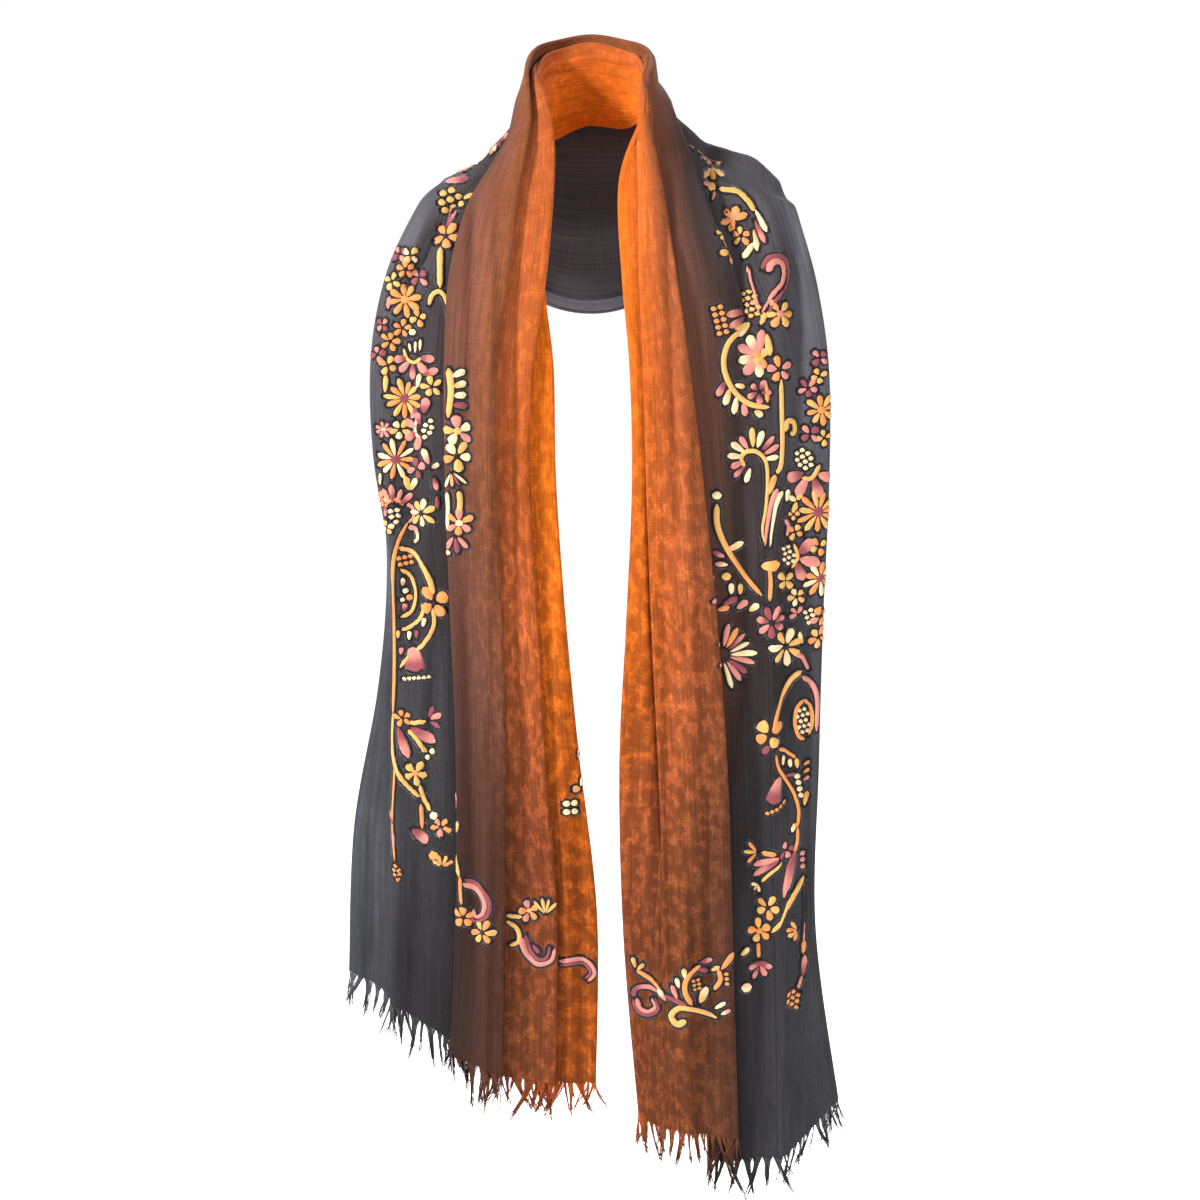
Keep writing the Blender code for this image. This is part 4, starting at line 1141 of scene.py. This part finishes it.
# The flowers, berries and vines, from the shoulder down
LEFT_MOTIFS = [
    # Shoulder and the chain above the cluster
    petals(-99, -38, 2, 11, 150, 290, 3, "plum plum-salmon"),
    berries(-141, -100, -70, (2, 3, 3), 7, "yellow"),
    blossom(-142, -136, 13, 5, 60, "orange"),
    stem(((-147, -147), (-148, -165), (-149, -187)), 6, "yellow"),
    stem(((-161, -204), (-157, -194), (-149, -191), (-143, -200), (-140, -216)), 5, "yellow"),
    # The cluster of small flowers
    blossom(-190, -154, 8, 4, 30, "plum salmon"),
    blossom(-179, -155, 8, 4, 50, "yellow cream"),
    blossom(-184, -169, 9, 5, 20, "orange"),
    blossom(-169, -177, 9, 4, 40, "plum salmon"),
    blossom(-198, -181, 8, 4, 70, "yellow"),
    blossom(-185, -199, 16, 8, 10, "orange", "orange"),
    blossom(-171, -217, 8, 4, 20, "yellow orange"),
    blossom(-207, -224, 7, 4, 45, "salmon plum"),
    blossom(-187, -227, 9, 5, 80, "orange"),
    bead(-177, -231, 7, "cream"),
    blossom(-200, -240, 9, 5, 0, "orange"),
    petals(-177, -255, 7, 22, 190, 350, 5, PINK),
    stem(((-187, -247), (-184, -257), (-176, -261), (-168, -256)), 4, "yellow"),
    blossom(-213, -253, 8, 4, 15, "plum salmon"),
    blossom(-203, -264, 9, 4, 60, "yellow orange"),
    blossom(-158, -285, 10, 5, 30, "yellow"),
    blossom(-187, -297, 18, 11, 8, WARM, "plum"),
    blossom(-208, -328, 8, 7, 0, "salmon", "cream"),
    blossom(-192, -328, 10, 5, 50, "yellow cream"),
    petals(-168, -328, 6, 21, 110, 250, 4, PINK),
    stem(((-170, -314), (-175, -322), (-175, -331), (-169, -338)), 4, "cream"),
    berries(-162, -327, 70, (1, 2, 2, 1), 5, "cream"),
    blossom(-196, -358, 18, 11, 0, "orange cream", "plum"),
    blossom(-174, -367, 10, 4, 20, "salmon plum"),
    petals(-199, -408, 7, 24, 40, 145, 5, PINK),
    stem(((-208, -410), (-205, -401), (-196, -398), (-190, -404)), 4, "orange"),
    berries(-198, -415, -80, (2, 2, 1), 5, "cream"),
    blossom(-169, -412, 14, 7, 20, "yellow cream"),
    stem(((-186, -403), (-180, -407), (-179, -416), (-185, -422)), 5, "salmon", 3),
    stem(((-185, -427), (-177, -428), (-174, -437), (-179, -442)), 6, "salmon", 4, "cream"),
    blossom(-211, -398, 7, 4, 0, "yellow orange"),
    blossom(-206, -427, 7, 4, 30, "cream yellow"),
    # The medallion and its bell
    stem(((-185, -421), (-193, -436), (-199, -458), (-201, -485), (-200, -525), (-200, -560),
          (-201, -590), (-203, -620)), 4, "orange"),
    stem(((-195, -447), (-180, -452), (-167, -466), (-160, -480), (-157, -494)), 5, "yellow", 6),
    stem(((-193, -469), (-183, -476), (-177, -494), (-182, -512), (-193, -518)), 4.5, "yellow"),
    berries(-188, -460, 10, (2, 2, 2), 5, "orange"),
    bead(-188, -491, 6, "cream"),
    bead(-184, -498, 7, "orange"),
    bead(-191, -500, 5, "cream"),
    blossom(-157, -502, 15, 4, 35, "orange"),
    stem(((-166, -508), (-172, -519), (-184, -528), (-192, -531)), 5, "yellow", 4),
    stem(((-158, -508), (-158, -526), (-169, -545), (-184, -557), (-194, -570)), 5, "yellow", 4),
    [band(((-180, -548), (-179, -560), (-178, -573)), 12, 26, "salmon", "plum", 9.0)],
    berries(-177, -580, 6, (1, 1, 1, 1, 1, 1), 4.4, "cream"),
    # The sprig and the vine down to the hem
    stem(((-203, -620), (-205, -645), (-203, -665), (-196, -682), (-186, -695),
          (-176, -705)), 5, "yellow", 5),
    blossom(-192, -622, 9, 5, 30, "orange"),
    stem(((-186, -627), (-169, -625)), 5, "yellow"),
    petals(-167, -624, 3, 16, -25, 65, 3, "plum salmon"),
    stem(((-187, -634), (-178, -644), (-171, -655)), 5, "yellow"),
    blossom(-167, -658, 7, 3, 20, "cream yellow"),
    blossom(-180, -679, 12, 5, 60, "yellow", "orange"),
    stem(((-176, -692), (-172, -706), (-165, -719)), 5, "yellow"),
    stem(((-175, -712), (-174, -738)), 5, "orange"),
    bead(-161, -724, 9, "cream"),
    blossom(-153, -735, 10, 5, 50, "orange salmon"),
    stem(((-147, -736), (-139, -739), (-136, -728)), 4, "yellow"),
    stem(((-151, -746), (-142, -762), (-135, -786)), 5, "yellow"),
    bead(-161, -766, 11, "orange"),
    petals(-152, -777, 2, 12, 30, 150, 4, "orange yellow"),
    stem(((-200, -665), (-203, -700), (-205, -735), (-202, -772)), 3, "orange"),
    berries(-200, -784, -80, (1, 2, 2, 1), 4, "orange"),
    # Strip C, beside the fold
    stem(((-141, -266), (-139, -288), (-142, -315)), 8, "yellow", 6),
    blossom(-133, -328, 14, 5, 30, "cream salmon yellow", "yellow"),
    blossom(-134, -353, 14, 5, 60, "yellow cream orange"),
    petals(-139, -368, 3, 17, 250, 320, 4, "cream yellow plum"),
    stem(((-132, -388), (-131, -399), (-132, -409)), 6, "yellow"),
    blossom(-132, -420, 13, 6, 30, "orange salmon", "cream"),
    petals(-136, -431, 4, 18, 240, 310, 3, "salmon plum salmon"),
    bead(-144, -451, 6, "cream"),
    stem(((-144, -390), (-143, -405), (-144, -428)), 5, "cream", 4),
    stem(((-134, -786), (-134, -800), (-133, -814)), 4, "orange"),
    scroll(((-131, -790), (-117, -796), (-107, -809), (-109, -823), (-119, -828),
            (-123, -819)), 11, "salmon", "plum", 6),
    blossom(-131, -827, 11, 5, 20, "orange"),
    blossom(-111, -842, 13, 6, 0, "yellow orange"),
    # Strips B and A, across the hem
    stem(((-87, -826), (-72, -828)), 5, "yellow"),
    blossom(-64, -822, 11, 5, 30, "orange salmon", "yellow"),
    petals(-47, -825, 2, 18, 50, 130, 4, "yellow"),
    stem(((-87, -832), (-77, -840), (-75, -853), (-84, -858)), 5, "yellow"),
    scroll(((-72, -848), (-66, -866), (-55, -876), (-43, -873), (-39, -860)), 12, "salmon", "plum", 6),
    scroll(((-34, -878), (-16, -876), (-3, -880), (2, -890), (-4, -898)), 9, "salmon", "plum", 6),
    bead(-16, -695, 8, "orange"),
    berries(-22, -714, 0, (2, 2), 7, "cream"),
]

RIGHT_MOTIFS = [
    # Shoulder
    bead(102, -25, 6, "cream"),
    berries(122, -47, -70, (2, 2, 2), 5, "orange"),
    berries(120, -60, -70, (2, 1), 5, "salmon"),
    petals(122, -68, 1, 14, 230, 330, 3, "yellow orange"),
    bead(121, -87, 9, "yellow"),
    bead(115, -84, 6, "salmon"),
    stem(((128, -89), (147, -92), (157, -101), (163, -111)), 6, "yellow"),
    petals(144, -120, 0, 15, 30, 245, 5, "orange salmon-orange", 1.0),
    blossom(150, -136, 9, 5, 20, "orange yellow"),
    blossom(141, -149, 12, 5, 60, "yellow orange"),
    blossom(131, -132, 6, 4, 0, "yellow"),
    scroll(((173, -171), (178, -161), (188, -160), (193, -170), (190, -183), (180, -196),
            (171, -213)), 13, "salmon", "plum", 5),
    stem(((156, -166), (159, -178), (162, -195), (167, -212)), 3, "salmon"),
    # The ring and its flowers
    blossom(186, -213, 14, 6, 0, "orange yellow", "salmon"),
    berries(158, -203, -70, (2, 3, 2, 3, 2), 5, "yellow"),
    berries(127, -219, -75, (2, 2, 2, 2, 2), 5.5, "orange"),
    stem(((149, -229), (137, -240), (132, -256), (134, -273), (143, -290), (158, -302),
          (178, -306)), 6, "yellow"),
    petals(168, -254, 3, 24, 80, 272, 6, "salmon salmon-cream", 1.05),
    petals(169, -256, 0, 11, 60, 290, 4, "yellow orange", 1.0),
    blossom(187, -268, 12, 5, 30, "salmon orange"),
    blossom(167, -289, 11, 5, 60, "plum-salmon"),
    stem(((189, -278), (190, -310), (191, -340), (190, -362), (186, -372)), 5, "yellow"),
    stem(((194, -330), (196, -320), (203, -321), (204, -330), (199, -333)), 6, "yellow"),
    # The crozier and the fan
    petals(163, -356, 11, 28, -5, 250, 11, "cream salmon plum-salmon cream yellow salmon cream"),
    stem(((154, -365), (150, -357), (155, -350), (166, -350), (175, -360), (177, -380), (175, -408),
          (172, -428), (175, -443)), 6, "yellow", 3),
    scroll(((188, -388), (182, -402), (178, -424), (176, -443)), 12, "salmon", "cream", 4),
    bead(125, -393, 9, "cream"),
    stem(((125, -402), (126, -424), (136, -448), (154, -474), (172, -495)), 7, "yellow", 5, "orange"),
    stem(((179, -466), (180, -480), (179, -498)), 5, "orange"),
    # The rope of leaves and the plum flower
    bead(135, -475, 9, "yellow"),
    blossom(181, -520, 15, 7, 12, "plum-salmon salmon plum"),
    petals(131, -555, 9, 36, -72, 78, 9, "cream salmon plum salmon cream cream plum-salmon orange salmon"),
    stem(((129, -541), (134, -549), (134, -560), (130, -566)), 5, "orange"),
    blossom(197, -548, 17, 7, 20, "yellow cream"),
    # The cluster at the outer fold
    blossom(229, -257, 8, 4, 45, "plum salmon"),
    blossom(228, -275, 8, 4, 20, "yellow"),
    blossom(218, -287, 9, 5, 60, "salmon plum"),
    blossom(231, -309, 15, 8, 10, "orange yellow", "orange"),
    blossom(220, -333, 9, 4, 40, "plum salmon"),
    blossom(234, -337, 8, 4, 10, "yellow"),
    berries(214, -358, -60, (2, 3, 3, 2), 5, "cream"),
    petals(221, -370, 8, 26, 195, 335, 4, PINK),
    stem(((212, -377), (222, -377), (230, -364)), 5, "yellow"),
    blossom(229, -412, 20, 11, 5, WARM, "plum"),
    petals(207, -400, 1, 9, 60, 250, 3, "yellow cream"),
    blossom(204, -413, 6, 4, 0, "yellow"),
    stem(((195, -418), (199, -425), (197, -435)), 5, "salmon", 4),
    blossom(206, -431, 8, 4, 60, "yellow orange"),
    berries(199, -454, -70, (2, 2, 3, 2), 4.6, "cream"),
    stem(((205, -443), (209, -456), (203, -468)), 4, "yellow"),
    petals(205, -457, 6, 25, -65, 40, 3, PINK),
    blossom(230, -447, 9, 4, 30, "yellow orange"),
    blossom(232, -480, 16, 9, 0, "orange cream", "plum"),
    petals(196, -480, 1, 10, 40, 320, 4, "yellow"),
    blossom(208, -497, 9, 5, 40, "yellow cream"),
    petals(209, -515, 1, 9, 60, 200, 3, "salmon"),
    berries(222, -518, -70, (2, 2, 2), 5, "cream"),
    blossom(233, -520, 10, 4, 20, "salmon orange"),
    blossom(231, -541, 10, 5, 50, "orange yellow"),
    stem(((207, -556), (214, -560), (222, -574)), 7, "salmon", 4),
    # The medallion, its rungs and its bell
    stem(((213, -574), (203, -582), (194, -596), (186, -614), (183, -628)), 6, "yellow", 5, "orange"),
    stem(((217, -604), (209, -612), (207, -628), (211, -642), (218, -646)), 4.5, "orange"),
    stem(((217, -604), (224, -612), (226, -628), (222, -642)), 4.5, "orange"),
    berries(216, -626, -80, (2, 3, 2, 3, 2), 5, "cream"),
    stem(((214, -580), (225, -588), (231, -606), (231, -640)), 6, "salmon", 5),
    blossom(182, -638, 16, 4, 35, WARM),
    stem(((189, -650), (199, -657), (208, -664)), 4, "orange"),
    stem(((185, -655), (188, -668), (197, -684), (207, -702), (212, -720), (211, -738)), 4, "orange"),
    [band(((190, -679), (186, -692), (183, -706)), 8, 19, "salmon", "plum", 9.0)],
    berries(187, -712, 20, (1, 1, 1, 1, 1), 4.4, "orange"),
    berries(212, -694, -78, (1, 1, 1, 1), 6, "cream"),
    # The sprig
    stem(((211, -738), (211, -752), (208, -764)), 4, "orange"),
    petals(170, -763, 1, 15, 130, 215, 3, WARM),
    stem(((175, -763), (190, -765)), 6, "orange"),
    blossom(200, -760, 8, 4, 20, "plum salmon"),
    stem(((197, -775), (184, -785), (175, -794)), 4, "yellow"),
    petals(171, -797, 0, 8, 170, 290, 3, "cream yellow"),
    blossom(182, -821, 12, 5, 60, "yellow orange"),
    berries(217, -772, -88, (1, 1, 1), 6, "salmon"),
    stem(((219, -790), (206, -812), (196, -826), (182, -840)), 6, "yellow", 5),
    blossom(173, -846, 13, 5, 30, "orange yellow", "orange"),
    stem(((172, -858), (173, -876)), 5, "orange"),
    petals(174, -882, 2, 15, 190, 350, 4, "salmon plum-salmon"),
    bead(159, -905, 11, "cream"),
    stem(((219, -794), (221, -820), (220, -850), (219, -872)), 3, "salmon"),
    petals(212, -846, 1, 12, 120, 260, 4, "yellow orange"),
    stem(((218, -896), (214, -908)), 4, "salmon"),
    berries(209, -920, -70, (2, 3, 2, 1), 5, "orange"),
    # Across the hem
    stem(((46, -883), (58, -890), (71, -900)), 5, "orange"),
    stem(((42, -911), (46, -902), (56, -900), (68, -903)), 6, "plum", 5, "salmon"),
    scroll(((45, -913), (49, -924), (59, -928), (67, -921), (63, -912)), 9, "salmon", "plum", 6),
    stem(((103, -918), (96, -903), (99, -888), (112, -877)), 6, "orange", 5),
    berries(108, -897, -80, (2, 2, 2), 4, "orange"),
    stem(((131, -882), (133, -893), (127, -904)), 5, "orange"),
    berries(139, -892, -85, (1, 1, 1), 4.5, "orange"),
    stem(((97, -934), (88, -939), (82, -930), (92, -921), (110, -925), (130, -934)), 8, "yellow", 5),
]

BACK_MOTIFS = [
    stem(((-196, -62), (-176, -84), (-150, -92), (-122, -108), (-96, -136), (-66, -146)), 5, "yellow"),
    stem(((-66, -146), (-40, -138), (-14, -150), (10, -160), (36, -150)), 5, "orange"),
    stem(((36, -150), (66, -140), (92, -132), (120, -108), (150, -92), (178, -84),
          (198, -62)), 5, "yellow"),
    blossom(-184, -60, 13, 6, 20, "orange yellow", "salmon"),
    blossom(-148, -112, 16, 8, 10, "salmon cream", "plum"),
    berries(-120, -130, 40, (2, 3, 2), 6, "orange"),
    blossom(-92, -112, 14, 5, 40, "orange", "yellow"),
    stem(((-96, -136), (-86, -160), (-70, -168), (-60, -158), (-68, -150)), 8, "salmon", 4, "plum"),
    blossom(-40, -112, 19, 11, 0, "orange yellow", "plum"),
    petals(-14, -176, 7, 24, 200, 340, 6, "salmon cream plum-salmon"),
    stem(((-22, -180), (-14, -170), (-4, -176)), 5, "yellow"),
    blossom(2, -128, 13, 5, 30, "yellow cream", "orange"),
    blossom(38, -122, 16, 8, 15, "salmon plum-salmon", "cream"),
    berries(44, -174, -30, (2, 3, 2), 6, "yellow"),
    stem(((66, -140), (78, -160), (92, -164), (98, -152), (90, -146)), 8, "salmon", 4, "plum"),
    blossom(96, -108, 15, 6, 0, "orange yellow", "salmon"),
    blossom(132, -76, 12, 5, 50, "cream yellow"),
    berries(146, -114, 30, (2, 3, 2), 6, "orange"),
    blossom(172, -106, 14, 7, 10, "salmon orange", "plum"),
    blossom(-70, -196, 9, 4, 30, "plum salmon"),
    blossom(-36, -206, 9, 4, 60, "yellow"),
    blossom(16, -208, 9, 5, 10, "orange"),
    blossom(56, -200, 9, 4, 45, "salmon plum"),
    blossom(-108, -172, 9, 4, 20, "yellow orange"),
    blossom(100, -186, 9, 5, 70, "yellow"),
]

embroider("embroidery_left", -1.0, leaves(LEFT_LEAVES) + LEFT_MOTIFS)
embroider("embroidery_right", 1.0, leaves(RIGHT_LEAVES) + RIGHT_MOTIFS)
embroider("embroidery_back", 0.0, leaves(BACK_LEAVES) + BACK_MOTIFS)

# The room
# A plain pale floor below the hanging ends, and soft light from large lamps.
FLOOR_UP = -1.34
FLOOR_HALF = 60.0
SKY_LIGHT = 0.20

floor_material, floor_shader, _ = new_finish("pale_floor", 0.9, 0.0)
floor_shader.inputs["Base Color"].default_value = (0.86, 0.86, 0.86, 1.0)
floor_shader.inputs["Emission Color"].default_value = (1.0, 1.0, 1.0, 1.0)
floor_shader.inputs["Emission Strength"].default_value = 0.90
floor_mesh = bpy.data.meshes.new("floor")
floor_corners = [
    (x * FLOOR_HALF, y * FLOOR_HALF, FLOOR_UP) for x, y in ((-1, -1), (1, -1), (1, 1), (-1, 1))
]
floor_mesh.from_pydata(floor_corners, [], [(0, 1, 2, 3)])
floor_mesh.materials.append(floor_material)
floor = put("floor", floor_mesh)

bpy.context.scene.view_settings.view_transform = "Standard"
sky = bpy.data.worlds.new("soft_light")
sky.use_nodes = True
backdrop = sky.node_tree.nodes["Background"]
backdrop.inputs["Color"].default_value = (1.0, 1.0, 1.0, 1.0)
seen = Channel(sky.node_tree, None).node("ShaderNodeLightPath")
sky.node_tree.links.new((seen * (1.0 - SKY_LIGHT) + SKY_LIGHT).socket, backdrop.inputs["Strength"])
bpy.context.scene.world = sky

# Lamps, a row for each: where it hangs, how wide it is, and its power in watts
LAMPS = {
    "key": ((-2.5, -1.5, 1.3), 0.5, 195.0),
    "fill": ((1.8, -2.4, 0.3), 1.4, 46.0),
    "back": ((0.6, 2.2, 1.2), 1.6, 60.0),
}
AIM = (0.0, -0.10, -0.45)


def turned_to(place_at, aim):
    """The turn that points a lamp's or camera's -Z axis at the aim, with its Y axis upwards."""
    return (Vector(aim) - Vector(place_at)).to_track_quat("-Z", "Y").to_euler()


for word, (lamp_at, width, power) in LAMPS.items():
    lamp = bpy.data.lights.new(word, "AREA")
    lamp.size = width
    lamp.energy = power
    hung = put(word, lamp)
    hung.location = lamp_at
    hung.rotation_euler = turned_to(lamp_at, AIM)

# The camera
# It stands where the photograph was taken from: in front, at the height of the shoulders.
CAMERA_AT = (0.008, -2.56, -0.12)
CAMERA_AIM = (0.008, -0.16, -0.45)
LENS = 80.0

camera = bpy.data.cameras.new("camera")
camera.lens = LENS
camera.sensor_width = 36.0
camera_object = put("camera", camera)
camera_object.location = CAMERA_AT
camera_object.rotation_euler = turned_to(CAMERA_AT, CAMERA_AIM)
bpy.context.scene.camera = camera_object
